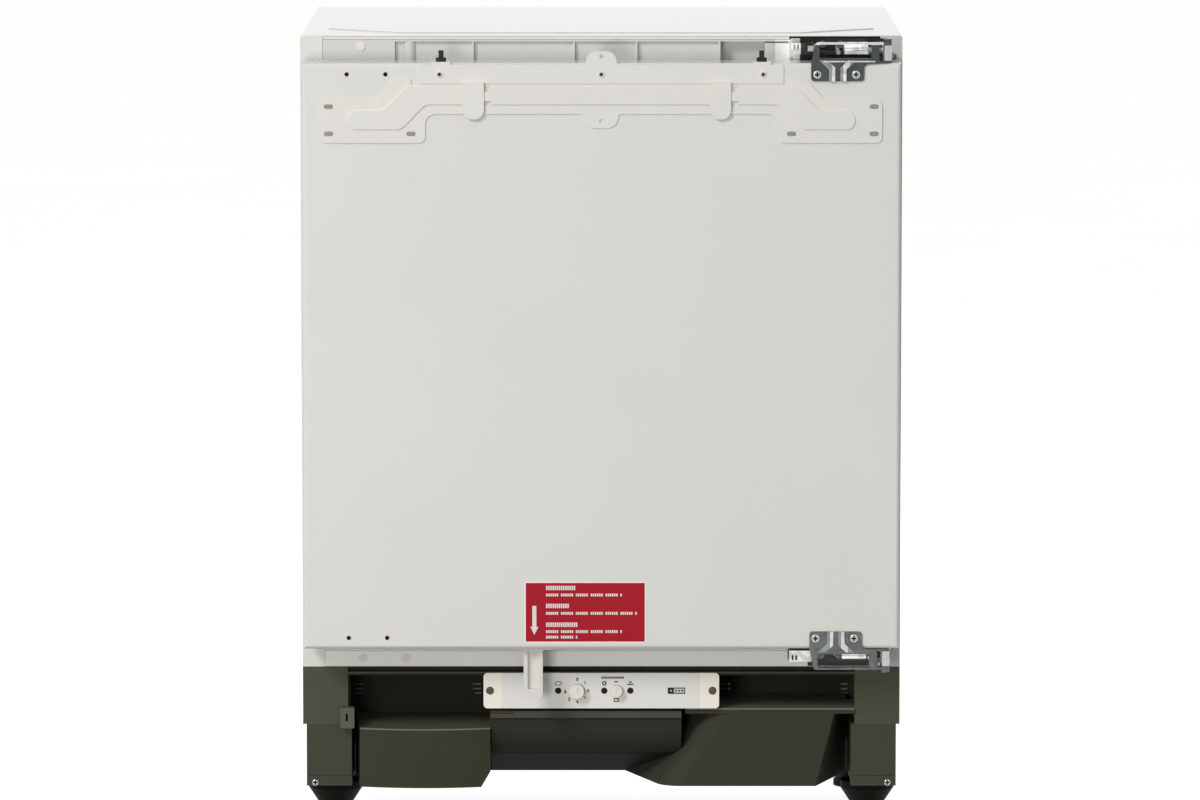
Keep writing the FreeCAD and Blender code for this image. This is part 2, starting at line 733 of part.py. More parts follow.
def cabinet_wrap():
    inner, under = HALF - SHEET, ROOF - SHEET
    bend = WRAP_BEND - SHEET
    outside = [(-HALF, BASE_TOP), (-HALF, ROOF, WRAP_BEND), (HALF, ROOF, WRAP_BEND), (HALF, BASE_TOP)]
    inside = [(inner, BASE_TOP), (inner, under, bend), (-inner, under, bend), (-inner, BASE_TOP)]
    skin = prism(outside + inside, "xz", 0.0, SHELL_DEPTH)
    flange = box(HALF - FRONT_FLANGE, inner, 0, SHEET, BASE_TOP, under)
    rear = SHELL_DEPTH - SHEET
    side_return = box(HALF - REAR_RETURN, inner, rear, SHELL_DEPTH, MACHINE_ROOF, under)
    top_return = box(-inner, inner, rear, SHELL_DEPTH, under - REAR_RETURN, under)
    top_flange = box(-inner, SEAT_START, TOP_FLANGE_SET, TOP_FLANGE_SET + SHEET, RAIL_TOP + SEAT_GAP, under)
    reach = HALF - TOP_EMBOSS_SIDE
    cut_x, cut_y = reach - TOP_EMBOSS_CUT_X, TOP_EMBOSS_FRONT + TOP_EMBOSS_CUT_Y
    back = SHELL_DEPTH - TOP_EMBOSS_REAR
    emboss = prism([(-reach, cut_y), (-cut_x, TOP_EMBOSS_FRONT), (cut_x, TOP_EMBOSS_FRONT), (reach, cut_y),
                    (reach, back), (-reach, back)], "xy", ROOF, HEIGHT)
    returns = [s for piece in (flange, side_return) for s in pair(piece).Solids]
    edges = join(top_return, top_flange, *returns).common(prism(outside, "xz", 0.0, SHELL_DEPTH))
    return join(skin, emboss, edges)


def floor_line(offset):
    """Stepped underside of the cabinet in the yz plane, raised by an offset."""
    low, high = BASE_TOP + offset, MACHINE_ROOF + offset
    return [(SHEET, low), (MACHINE_FRONT, low), (MACHINE_FRONT + MACHINE_RAMP, high),
            (SHELL_DEPTH - SHEET, high)]


def cabinet_bottom():
    reach = HALF - SHEET
    return prism(floor_line(0.0) + floor_line(FLOOR_SHEET)[::-1], "yz", -reach, reach)


def pipe_entries():
    """Bores for the suction line and the capillary through the back panel into the foam."""
    start, length = SHELL_DEPTH - PIPE_ENTRY, PIPE_ENTRY + BACK_SHEET + CUT
    return [rod(radius + SEAT_GAP, (x, start, PIPE_ENTRY_Z), INWARD, length)
            for x, radius in ((PIPE_ENTRY_X, PIPE_R), (CAPILLARY_X, CAPILLARY_R))]


def back_panel():
    reach = HALF - BACK_INSET
    panel = box(-reach, reach, SHELL_DEPTH, BACK_FACE, MACHINE_ROOF, ROOF - BACK_INSET)
    return panel.cut(pipe_entries())


def cavity(grow, corner, knee, front):
    """Stepped space inside the liner, grown outwards by a wall, with its own radius at the step's knee."""
    low, step, top = CAVITY_FLOOR - grow, CAVITY_STEP_Z - grow, CAVITY_ROOF + grow
    step_y, back = MACHINE_FRONT + grow, CAVITY_DEPTH + grow
    points = [(front, low), (step_y, low, corner), (step_y, step, knee), (back, step, corner),
              (back, top, corner), (front, top)]
    return prism(points, "yz", -CAVITY_HALF - grow, CAVITY_HALF + grow)


def shelf_ledges():
    edge = CAVITY_HALF - LEDGE_REACH
    ledges = []
    for z in SHELF_Z:
        profile = [(CAVITY_HALF, z), (edge, z), (edge, z - LEDGE_EDGE), (CAVITY_HALF, z - LEDGE_DROP)]
        ledges += pair(prism(profile, "xz", EVAPORATOR_FRONT, CAVITY_DEPTH)).Solids
    return ledges


def inner_liner():
    flange = box(-RAIL_HALF, RAIL_HALF, 0, LINER_WALL, BOTTOM_RAIL_TOP + SEAT_GAP, RAIL_BOTTOM - SEAT_GAP)
    shell = cavity(LINER_WALL, LINER_CORNER, LINER_CORNER, 0.0).fuse(flange)
    shell = shell.cut(cavity(0.0, LINER_CORNER, LINER_CORNER, -CUT))
    return join(shell, *shelf_ledges())


def insulation_foam():
    inner, under = HALF - SHEET, ROOF - SHEET
    floor = floor_line(FLOOR_SHEET)
    side = [(LINER_WALL, floor[0][1])] + floor[1:] + [(SHELL_DEPTH - SHEET, under), (LINER_WALL, under)]
    block = prism(side, "yz", -inner, inner)
    arch = prism([(-inner, BASE_TOP), (-inner, under - WRAP_BEND), (WRAP_BEND - inner, under),
                  (inner - WRAP_BEND, under), (inner, under - WRAP_BEND), (inner, BASE_TOP)],
                 "xz", LINER_WALL, SHELL_DEPTH)
    cuts = [box(-inner, inner, 0, RAIL_DEPTH, RAIL_BOTTOM - SEAT_GAP, under),
            box(-inner, inner, 0, BOTTOM_RAIL_DEPTH, BASE_TOP, BOTTOM_RAIL_TOP + SEAT_GAP),
            cavity(LINER_WALL, 0.0, LINER_CORNER + LINER_WALL, 0.0)]
    return block.common(arch).cut(cuts + pipe_entries())


def top_rail():
    """Channel with open bays between its ribs, a plain face on the left and one behind the hinge."""
    back, wall = RAIL_DEPTH, RAIL_WALL
    low, high = RAIL_BOTTOM, RAIL_TOP
    channel = prism([(0, low), (back, low), (back, high), (0, high), (0, high - wall),
                     (back - wall, high - wall), (back - wall, low + wall), (0, low + wall)],
                    "yz", -RAIL_HALF, RAIL_HALF)
    ribs = [box(x - wall / 2, x + wall / 2, 0, back, low, high) for x in RAIL_RIB_X]
    ribs += pair(box(RAIL_HALF - wall, RAIL_HALF, 0, back, low, high)).Solids
    faces = [box(-RAIL_HALF, RAIL_RIB_X[0], 0, wall, low, high),
             box(RAIL_RIB_X[-1], RAIL_HALF, 0, wall, low, high)]
    deep = RAIL_SHALLOW + wall
    faces += [box(RAIL_RIB_X[i], RAIL_RIB_X[i + 1], RAIL_SHALLOW, deep, low, high) for i in RAIL_SHALLOW_BAYS]
    boss = rod(RAIL_BOSS_R, (RAIL_RIB_X[0] + RAIL_BOSS_EDGE, deep, low), UPWARD, RAIL_HEIGHT)
    boss = boss.common(box(-RAIL_HALF, RAIL_HALF, 0, deep, low, high))
    block = box(RAIL_RIB_X[-1] - RAIL_BLOCK_WIDTH, RAIL_RIB_X[-1], RAIL_BLOCK_FRONT, back, low,
                high - RAIL_BLOCK_HEAD)
    holes = [bore(CAP_STEM_R + SEAT_GAP, CAP_X[0], CAP_TOP_Z, 0.0, CAP_STEM + CUT)]
    holes += [bore(SCREW_HOLE_R, x, SEAT_SCREW_Z, 0.0, SCREW_LENGTH) for x in SEAT_SCREW_X]
    return join(channel, boss, block, *ribs, *faces).cut(holes)


def bottom_rail():
    wall, depth = BOTTOM_RAIL_WALL, BOTTOM_RAIL_DEPTH
    low, high = BOTTOM_RAIL_LOW, BOTTOM_RAIL_TOP
    lip, out = low + BOTTOM_RAIL_LIP, -BOTTOM_RAIL_LIP_OUT
    channel = prism([(out, low), (depth, low), (depth, low + wall), (wall, low + wall),
                     (wall, high - wall), (depth, high - wall), (depth, high), (0, high, wall),
                     (0, lip), (out, lip)], "yz", -RAIL_HALF, RAIL_HALF)
    holes = [bore(CAP_STEM_R + SEAT_GAP, x, CAP_LOW_Z, 0.0, CAP_STEM + CUT) for x in CAP_X]
    low_seat_z = 2 * DOOR_MIDDLE - SEAT_SCREW_Z
    holes += [bore(SCREW_HOLE_R, x, low_seat_z, 0.0, SCREW_LENGTH) for x in SEAT_SCREW_X]
    return channel.cut(holes)


def screw_caps():
    caps = []
    for x, z in CAP_PLACES:
        head = rod(CAP_R, (x, -CAP_HEAD, z), INWARD, CAP_HEAD)
        caps.append(head.fuse(rod(CAP_STEM_R, (x, 0, z), INWARD, CAP_STEM)))
    return Part.makeCompound(caps)


# Multi-link hinge, drawn at the door's top edge

def link(first, second, low, high):
    """Flat arm with a round eye at each end."""
    a, b = V(first[0], first[1], 0), V(second[0], second[1], 0)
    along = (b - a).normalize()
    across = V(-along.y, along.x, 0) * (ARM_WIDTH / 2)
    bar = prism([(p.x, p.y) for p in (a + across, b + across, b - across, a - across)], "xy", low, high)
    eyes = [rod(EYE_R, (p[0], p[1], low), UPWARD, high - low) for p in (first, second)]
    return join(bar, *eyes)


def pivot(radius, point, low, high):
    """Upright round bar at a pivot."""
    return rod(radius, (point[0], point[1], low), UPWARD, high - low)


def pivot_hole(point, gap, low, high):
    return pivot(PIVOT_PIN_R + gap, point, low - CUT, high + CUT)


def hinge_main_arm():
    arm = link(MAIN_PIVOT, BARREL, MAIN_LOW, MAIN_TOP)
    arm = join(arm, pivot(BARREL_R, BARREL, TAIL_TOP + LINK_GAP, LUG_LOW - LINK_GAP))
    return arm.cut([pivot_hole(MAIN_PIVOT, PIN_GAP, MAIN_LOW, MAIN_TOP),
                    pivot_hole(BARREL, PIN_GAP, TAIL_TOP, LUG_LOW)])


def hinge_guide_arm():
    arm = link(GUIDE_PIVOT, GUIDE_END, GUIDE_LOW, GUIDE_TOP)
    return arm.cut([pivot_hole(GUIDE_PIVOT, PIN_GAP, GUIDE_LOW, GUIDE_TOP),
                    pivot_hole(GUIDE_END, GUIDE_PLAY, GUIDE_LOW, GUIDE_TOP)])


def arm_box(left, front):
    """Folded box at the leaf's free end, open above, with two upright slots in its face."""
    right, wall = left + ARM_BOX_WIDTH, ARM_BOX_WALL
    shell = box(left, right, front, -LEAF, SHELF_LOW, LUG_LOW)
    shell = shell.cut(box(left + wall, right - wall, front + wall, -LEAF, SHELF_TOP, LUG_LOW + CUT))
    first = left + ARM_BOX_SLOT_EDGE
    slots = [box(x, x + ARM_BOX_SLOT, front - CUT, front + wall + CUT, SHELF_TOP + ARM_BOX_SLOT_MARGIN,
                 LUG_LOW - ARM_BOX_SLOT_MARGIN) for x in (first, first + ARM_BOX_SLOT_PITCH)]
    return shell.cut(slots)


def hinge_cabinet_leaf():
    right = DOOR_HALF - SEAT_RIGHT
    left = SEAT_START + SEAT_LIP
    seat = prism(rectangle(SEAT_START, right, DOOR_TOP - LEAF, HINGE_TOP, EAR_CORNER), "xz", -LEAF, 0.0)
    step = MAIN_PIVOT[1] + EYE_R
    front = GUIDE_PIVOT[1] - EYE_R
    tip, heel = GUIDE_PIVOT[0] + EYE_R, MAIN_PIVOT[0] - EYE_R
    shelf = prism([(left, -LEAF), (right, -LEAF), (right, GUIDE_END[1] + EYE_R), (tip, GUIDE_PIVOT[1]),
                   (tip, front, SHELF_NOSE_R), (heel, front, EYE_R), (heel, step, EYE_R), (left, step)],
                  "xy", SHELF_LOW, SHELF_TOP)
    spring_x = heel - LINK_GAP - SPRING_LENGTH
    spring_z = SHELF_TOP + SPRING_R - SPRING_SINK
    spring = rod(SPRING_R, (spring_x, -SPRING_OUT, spring_z), (1, 0, 0), SPRING_LENGTH)
    leaf = join(seat, shelf, arm_box(left, step), spring)
    holes = [pivot_hole(p, PIN_GAP, SHELF_LOW, SHELF_TOP) for p in (MAIN_PIVOT, GUIDE_PIVOT)]
    holes += [bore(SCREW_HOLE_R, x, SEAT_SCREW_Z, -LEAF, LEAF + CUT) for x in SEAT_SCREW_X]
    return leaf.cut(holes)


def cabinet_hinge_pins():
    return ends(pivot(PIVOT_PIN_R, MAIN_PIVOT, SHELF_LOW, MAIN_TOP),
                pivot(PIVOT_PIN_R, GUIDE_PIVOT, GUIDE_LOW, SHELF_TOP))


def ear_rib(side, face):
    """Pressed rib that runs up the ear and flares outwards over the frame's sill."""
    inner = FRAME_LEFT + EAR_WIDTH / 2 + side * RIB_GAP / 2
    outer = inner + side * RIB_WIDTH
    low, top = DOOR_TOP - EAR_DROP, DOOR_TOP + RIB_TOP
    return prism([(inner, low), (inner, DOOR_TOP - RIB_BEND_IN), (inner + side * RIB_FLARE_IN, top),
                  (outer + side * RIB_FLARE_OUT, top), (outer, DOOR_TOP - RIB_BEND_OUT, RIB_CORNER),
                  (outer, low)], "xz", face - RIB_RISE, face)


def hinge_door_leaf():
    face, back = DOOR_FRONT - LEAF, DOOR_FRONT
    right, ear_right = FRAME_LEFT + FRAME_WIDTH, FRAME_LEFT + EAR_WIDTH
    ear_low = DOOR_TOP - EAR_DROP
    plate = prism([(FRAME_LEFT, ear_low, EAR_CORNER), (ear_right, ear_low, EAR_CORNER),
                   (ear_right, DOOR_TOP, EAR_NECK), (right, DOOR_TOP, EAR_CORNER), (right, HINGE_TOP),
                   (FRAME_LEFT + FRAME_SLANT, HINGE_TOP, EAR_CORNER), (FRAME_LEFT, DOOR_TOP)],
                  "xz", face, back)
    window = prism(rectangle(FRAME_LEFT + FRAME_BAR, right - FRAME_BAR, DOOR_TOP + FRAME_SILL,
                             HINGE_TOP - FRAME_HEAD, WINDOW_CORNER), "xz", face - CUT, back + CUT)
    outer, rear = GUIDE_END[0] + EYE_R, DOOR_BACK - SEAT_GAP
    tail = prism([(FRAME_LEFT, back), (BARREL[0] - BARREL_R, back), (BARREL[0], BARREL[1] - BARREL_R),
                  (BARREL[0] + BARREL_R, BARREL[1]), (outer, GUIDE_END[1] - 2 * EYE_R),
                  (outer, rear, EYE_R), (GUIDE_END[0] - 3 * EYE_R, rear, EYE_R),
                  (ear_right, back + TAIL_WIDTH, TAIL_BEND), (FRAME_LEFT, back + TAIL_WIDTH, TAIL_CORNER)],
                 "xy", DOOR_TOP, TAIL_TOP)
    eye = pivot(BARREL_R, BARREL, LUG_LOW, HINGE_TOP + BARREL_RISE)
    lug = prism([(right - FRAME_BAR, face), (right, face), (BARREL[0], BARREL[1] - BARREL_GRIP),
                 (BARREL[0], BARREL[1] + BARREL_GRIP), (right - FRAME_BAR, back + LUG_HEEL)],
                "xy", LUG_LOW, HINGE_TOP)
    leaf = join(plate.cut(window), tail, lug, eye, ear_rib(-1, face), ear_rib(1, face))
    holes = [pivot_hole(BARREL, PIN_GAP, DOOR_TOP, HINGE_TOP + BARREL_RISE),
             pivot_hole(GUIDE_END, PIN_GAP, DOOR_TOP, TAIL_TOP)]
    holes += [bore(SCREW_HOLE_R, x, DOOR_TOP - HINGE_SCREW_EDGE, face, LEAF + CUT) for x in SCREW_X]
    return leaf.cut(holes)


def door_hinge_pins():
    return ends(pivot(PIVOT_PIN_R, BARREL, DOOR_TOP, HINGE_TOP + BARREL_RISE),
                pivot(PIVOT_PIN_R, GUIDE_END, DOOR_TOP, GUIDE_TOP))


# Screws

def screw_blank(x, y, z, head_r, head, edge, length):
    """Screw driven along +y, its head's underside at y and its head's rim rounded."""
    top = rod(head_r, (x, y - head, z), INWARD, head)
    top = top.makeFillet(edge, front_edges(top, y - head))
    return join(top, rod(SCREW_R, (x, y, z), INWARD, length))


def screw(x, y, z, head_r, length):
    """Pan-head screw with a cross recess."""
    blank = screw_blank(x, y, z, head_r, SCREW_HEAD, SCREW_ROUND, length)
    front, half, reach = y - SCREW_HEAD, SCREW_CROSS / 2, SCREW_CROSS_REACH
    cross = [box(x - a, x + a, front - CUT, front + SCREW_CROSS_DEPTH, z - b, z + b)
             for a, b in ((reach, half), (half, reach))]
    return blank.cut(cross)


def decor_screw(x):
    """Low-head screw with a deep round socket."""
    blank = screw_blank(x, DECOR_FRONT, DECOR_SCREW_Z, DECOR_SCREW_R, DECOR_SCREW_HEAD, DECOR_SCREW_ROUND,
                        DECOR_SCREW_LENGTH)
    return blank.cut(bore(DECOR_SOCKET_R, x, DECOR_SCREW_Z, DECOR_FRONT - DECOR_SCREW_HEAD, DECOR_SOCKET))


def door_front_screws():
    z = DOOR_TOP - HINGE_SCREW_EDGE
    hinge = ends(*[screw(x, DOOR_FRONT - LEAF, z, SCREW_HEAD_R, SCREW_LENGTH) for x in SCREW_X])
    return Part.makeCompound(hinge.Solids + [decor_screw(x) for x in DECOR_SCREW_X])


def hinge_cabinet_screws():
    return ends(*[screw(x, -LEAF, SEAT_SCREW_Z, SCREW_HEAD_R, SEAT_SCREW_LENGTH) for x in SEAT_SCREW_X])


# Door

def door_block(inset, front, back):
    return box(inset - DOOR_HALF, DOOR_HALF - inset, front, back, DOOR_BOTTOM + inset, DOOR_TOP - inset)


def door_screw_bores():
    """Screw holes for a hinge on either side, and for the decor rail."""
    places = [(s * x, z) for s in (-1, 1) for x in SCREW_X
              for z in (DOOR_TOP - HINGE_SCREW_EDGE, DOOR_BOTTOM + HINGE_SCREW_EDGE)]
    places += [(x, DECOR_SCREW_Z) for x in DECOR_SCREW_X]
    return [bore(SCREW_HOLE_R, x, z, DOOR_FRONT, SCREW_LENGTH + CUT) for x, z in places]


def door_skin():
    back = DOOR_BACK - DOOR_LINER
    outer = door_block(0.0, DOOR_FRONT, back)
    outer = outer.makeFillet(DOOR_EDGE_R, front_edges(outer, DOOR_FRONT))
    inner = door_block(SKIN, DOOR_FRONT + SKIN, back + CUT)
    inner = inner.makeFillet(DOOR_EDGE_R - SKIN, front_edges(inner, DOOR_FRONT + SKIN))
    return outer.cut(inner).cut(door_screw_bores())


def door_foam():
    block = door_block(SKIN, DOOR_FRONT + SKIN, DOOR_BACK - DOOR_LINER)
    block = block.makeChamfer(DOOR_EDGE_R, front_edges(block, DOOR_FRONT + SKIN))
    return block.cut(door_screw_bores())


def door_liner():
    """Inner sheet with a tray-shaped plateau that stands into the cabinet's opening."""
    wall, back = DOOR_LINER, DOOR_BACK + PLATEAU_RISE
    panel = door_block(0.0, DOOR_BACK - wall, DOOR_BACK)

    def plateau(inset, y):
        half = CAVITY_HALF - PLATEAU_GAP - inset
        low, high = CAVITY_FLOOR + PLATEAU_GAP + inset, CAVITY_ROOF - PLATEAU_GAP - inset
        return outline(rectangle(-half, half, low, high, PLATEAU_CORNER), "xz", y)

    rise = loft([plateau(0.0, DOOR_BACK), plateau(PLATEAU_SLOPE, back)])
    hollow = loft([plateau(wall, DOOR_BACK - wall), plateau(PLATEAU_SLOPE + wall, back - wall)])
    return join(panel, rise).cut(hollow)


def ring(inset, width, y0, y1):
    """Rectangular frame round the door's inner face."""
    half, low, high = DOOR_HALF - inset, DOOR_BOTTOM + inset, DOOR_TOP - inset
    outer = prism(rectangle(-half, half, low, high, GASKET_CORNER), "xz", y0, y1)
    inner = prism(rectangle(width - half, half - width, low + width, high - width, GASKET_INNER_CORNER),
                  "xz", y0, y1)
    return outer.cut(inner)


def door_gasket():
    fold = DOOR_BACK + GASKET_FOOT
    seal = fold + GASKET_FOLD
    foot = ring(GASKET_INSET, GASKET_WIDTH, DOOR_BACK, fold)
    neck = ring(GASKET_INSET + GASKET_NECK, GASKET_WIDTH - 2 * GASKET_NECK, fold, seal)
    strip = ring(GASKET_INSET + GASKET_LIP, GASKET_WIDTH - 2 * GASKET_LIP, seal, -GASKET_GAP)
    return join(foot, neck, strip)


# Decor fittings

def tongue(x):
    """Tongue of the rail: a jog over the carrier's bead and a blade with a rounded foot."""
    half, low, top = TONGUE_WIDTH / 2, DECOR_LOW - TONGUE_DROP, DECOR_LOW + DECOR_SHEET
    blade = prism([(x - half, low, TONGUE_R), (x + half, low, TONGUE_R), (x + half, top), (x - half, top)],
                  "xz", TONGUE_FRONT, TONGUE_BACK)
    return blade.fuse(box(x - half, x + half, TONGUE_FRONT, DOOR_FRONT, DECOR_LOW, top))


def stud_tab(x):
    """Tab folded back over the door's top edge, under a stud."""
    half, top, back = STUD_TAB_WIDTH / 2, DOOR_TOP + DECOR_SHEET, DOOR_FRONT + STUD_TAB
    flap = prism([(x - half, DECOR_FRONT), (x + half, DECOR_FRONT), (x + half, back, STUD_TAB_CORNER),
                  (x - half, back, STUD_TAB_CORNER)], "xy", DOOR_TOP, top)
    return flap.fuse(box(x - half, x + half, DECOR_FRONT, DOOR_FRONT, DECOR_TOP - DECOR_SHEET, top))


def decor_rail():
    ear_top = DECOR_TOP + DECOR_EAR_RISE
    half = [(DECOR_RAIL_HALF, DECOR_LOW), (DECOR_RAIL_HALF, DECOR_TOP, DECOR_RAIL_CORNER),
            (DECOR_EAR_HALF, DECOR_TOP, DECOR_EAR_NECK), (DECOR_EAR_HALF, ear_top, DECOR_EAR_R)]
    strip = prism(half + mirrored(half), "xz", DECOR_FRONT, DOOR_FRONT)
    tabs = [stud_tab(s * STUD_X) for s in (-1, 1)]
    holes = [bore(SCREW_HOLE_R, x, DECOR_SCREW_Z, DECOR_FRONT, DECOR_SHEET + CUT) for x in DECOR_SCREW_X]
    holes.append(bore(DECOR_EAR_HOLE_R, 0, ear_top - DECOR_EAR_HOLE, DECOR_FRONT, DECOR_SHEET + CUT))
    return join(strip, *tabs, *[tongue(x) for x in TONGUE_X]).cut(holes)


def height_adjuster_studs():
    base = DOOR_TOP + DECOR_SHEET
    y = DOOR_FRONT + STUD_TAB / 2
    stud = rod(STUD_R, (STUD_X, y, base), UPWARD, STUD_HEIGHT)
    turns = [math.radians(60 * k) for k in range(6)]
    nut = prism([(STUD_X + STUD_NUT_R * math.cos(a), y + STUD_NUT_R * math.sin(a)) for a in turns],
                "xy", base, base + STUD_NUT)
    return pair(join(nut, stud))


def level_slot(x, z):
    """Slot with round ends that runs sideways through the carrier."""
    straight = SLOT_LENGTH / 2 - SLOT_R
    front, back = BEAD_FRONT - CUT, CARRIER_BACK + CUT
    body = box(x - straight, x + straight, front, back, z - SLOT_R, z + SLOT_R)
    return body.fuse([rod(SLOT_R, (x + s * straight, front, z), INWARD, back - front) for s in (-1, 1)])


def decor_carrier():
    """Sheet with two wings and an ear, stiffened by a raised bead, that takes the furniture door."""
    top, low = DOOR_TOP - CARRIER_TOP_DROP, DOOR_TOP - CARRIER_LOW_DROP
    wing_top, wing_low = DOOR_TOP - WING_TOP_DROP, DOOR_TOP - WING_LOW_DROP
    ear_low = low - CARRIER_EAR_DROP
    half = [(ARM_TOP_X, top), (ARM_TOP_X, DOOR_TOP - ARM_TOP_DROP, ARM_CORNER),
            (WING_OUT - ARM_KNEE, DOOR_TOP - ARM_KNEE_DROP, ARM_BEND),
            (WING_OUT - WING_SHOULDER, wing_top, WING_CORNER), (WING_OUT, wing_top, WING_CORNER),
            (WING_OUT, wing_low, WING_CORNER), (WING_IN, wing_low, WING_CORNER), (WING_IN, low, WING_NECK),
            (CARRIER_EAR_HALF, low, DECOR_EAR_NECK), (CARRIER_EAR_HALF, ear_low, CARRIER_EAR_R)]
    plate = prism(half + mirrored(half), "xz", CARRIER_FRONT, CARRIER_BACK)
    bead_top = DOOR_TOP - BEAD_TOP_DROP
    bead_low = bead_top - BEAD_HEIGHT
    high, deep = DOOR_TOP - WING_BEAD_TOP_DROP, DOOR_TOP - WING_BEAD_LOW_DROP
    end = WING_OUT - WING_BEAD_END
    half = [(WING_IN + BEAD_TOP_LEAD, bead_top, BEAD_CORNER), (end - BEAD_WING_LEAD, high, BEAD_CORNER),
            (end, high, BEAD_END_R), (end, deep, BEAD_END_R), (WING_IN + BEAD_LOW_LEAD, deep, BEAD_CORNER),
            (WING_IN, bead_low, BEAD_END_R)]
    bead = prism(half + mirrored(half), "xz", BEAD_FRONT, CARRIER_FRONT)
    slots = [(WING_OUT - SLOT_OUT, SLOT_HIGH_DROP), (WING_OUT - SLOT_OUT, SLOT_LOW_DROP),
             (WING_OUT - SLOT_IN, SLOT_LOW_DROP)]
    cuts = [level_slot(s * x, DOOR_TOP - drop) for s in (-1, 1) for x, drop in slots]
    for x in TONGUE_X:
        edge = x + TONGUE_WIDTH / 2
        cuts += [box(edge, edge + NOTCH_WIDTH, BEAD_FRONT - CUT, CARRIER_BACK + CUT, z, z + NOTCH_HEIGHT)
                 for z in (bead_top - NOTCH_HEIGHT, bead_low - NOTCH_DIP)]
    deep_cut = CARRIER_BACK - BEAD_FRONT + CUT
    cuts.append(bore(DECOR_EAR_HOLE_R, 0, ear_low + CARRIER_EAR_HOLE, BEAD_FRONT, deep_cut))
    return join(plate, bead).cut(cuts)


# Alarm magnet arm

def magnet_block(grow):
    half, low = MAGNET_WIDTH / 2 + grow, ALARM_LOW + MAGNET_RISE
    return box(ALARM_X - half, ALARM_X + half, ALARM_BACK - MAGNET_DEPTH, ALARM_BACK, low - grow,
               low + MAGNET_HEIGHT + grow)


def alarm_magnet_arm():
    left, right = ALARM_X - ALARM_WIDTH / 2, ALARM_X + ALARM_WIDTH / 2
    arm = prism([(left, ALARM_LOW, ALARM_CORNER), (right, ALARM_LOW, ALARM_CORNER), (right, DOOR_BOTTOM),
                 (left, DOOR_BOTTOM)], "xz", ALARM_FRONT, ALARM_BACK)
    flange_low = DOOR_BOTTOM - ALARM_FLANGE_THICK
    wide, narrow = ALARM_FLANGE / 2, ALARM_FLANGE / 2 - ALARM_FLANGE_SLOPE
    flange = prism([(ALARM_X - wide, DOOR_BOTTOM), (ALARM_X + wide, DOOR_BOTTOM),
                    (ALARM_X + narrow, flange_low), (ALARM_X - narrow, flange_low)],
                   "xz", ALARM_FRONT, ALARM_BACK)
    half = ALARM_GROOVE_WIDTH / 2
    groove = box(ALARM_X - half, ALARM_X + half, ALARM_FRONT - CUT, ALARM_FRONT + ALARM_GROOVE,
                 ALARM_LOW + ALARM_GROOVE_END, flange_low)
    return join(arm, flange).cut([groove, magnet_block(SEAT_GAP)])


def alarm_magnet():
    return magnet_block(0.0)


# Control panel

def panel_bores():
    """Holes through the fascia for the knobs' shafts, the lenses and the screws."""
    places = [(x, KNOB_SHAFT_R + PIN_GAP) for x in (DIAL_X, SELECTOR_X)]
    places += [(x, LENS_R + SEAT_GAP) for x in LENS_X]
    places += [(s * PANEL_SCREW_X, SCREW_HOLE_R) for s in (-1, 1)]
    return [bore(radius, x, PANEL_MIDDLE, PANEL_FRONT, PANEL_THICK + CUT) for x, radius in places]


def control_fascia():
    plate = prism(rectangle(-PANEL_HALF, PANEL_HALF, PANEL_LOW, PANEL_TOP, PANEL_CORNER), "xz",
                  PANEL_FRONT, PANEL_BACK)
    cuts = panel_bores()
    for side in (-1, 1):
        middle = side * PANEL_GROOVE_X
        cuts.append(box(middle - PANEL_GROOVE / 2, middle + PANEL_GROOVE / 2, PANEL_FRONT - CUT,
                        PANEL_FRONT + PANEL_GROOVE_DEPTH, PANEL_LOW - CUT, PANEL_TOP + CUT))
        cuts.append(bore(PANEL_SCREW_R + SEAT_GAP, side * PANEL_SCREW_X, PANEL_MIDDLE, PANEL_FRONT,
                         PANEL_SCREW_SINK))
    return plate.cut(cuts)


def control_housing():
    """Box behind the fascia, open to the back, with a window for the switches and the lenses."""
    half, low, high, wall = HOUSING_HALF, HOUSING_LOW, DECK_LIP_LOW, HOUSING_WALL
    back = PANEL_BACK + HOUSING_DEPTH
    shell = box(-half, half, PANEL_BACK, back, low, high)
    hollow = box(wall - half, half - wall, PANEL_BACK + wall, back + CUT, low + wall, high - wall)
    left, right = LENS_X[0] - HOUSING_WINDOW_EDGE, LENS_X[-1] + HOUSING_WINDOW_EDGE
    bottom, top = PANEL_MIDDLE - HOUSING_WINDOW / 2, PANEL_MIDDLE + HOUSING_WINDOW / 2
    window = box(left, right, PANEL_BACK - CUT, PANEL_BACK + wall + CUT, bottom, top)
    holes = [bore(SCREW_HOLE_R, s * PANEL_SCREW_X, PANEL_MIDDLE, PANEL_BACK, wall + CUT) for s in (-1, 1)]
    return shell.cut([hollow, window] + holes)


def panel_screws():
    length = PANEL_THICK + HOUSING_WALL - PANEL_SCREW_SINK
    return pair(screw(PANEL_SCREW_X, PANEL_FRONT + PANEL_SCREW_SINK, PANEL_MIDDLE, PANEL_SCREW_R, length))


def indicator_lenses():
    length = PANEL_THICK + HOUSING_WALL + LENS_PROUD
    return Part.makeCompound([rod(LENS_R, (x, PANEL_FRONT - LENS_PROUD, PANEL_MIDDLE), INWARD, length)
                              for x in LENS_X])


def knob(x, radius, depth):
    """Round knob with a pointer bar on its face and a shaft through the fascia."""
    back = PANEL_FRONT - SLIDE_GAP
    front = back - depth
    body = rod(radius, (x, front, PANEL_MIDDLE), INWARD, depth)
    body = body.makeFillet(KNOB_EDGE, front_edges(body, front))
    pointer = box(x - POINTER_HALF, x + POINTER_HALF, front - POINTER_RISE, front + POINTER_RISE,
                  PANEL_MIDDLE, PANEL_MIDDLE + radius - POINTER_EDGE)
    return join(body, rod(KNOB_SHAFT_R, (x, back, PANEL_MIDDLE), INWARD, KNOB_SHAFT), pointer)


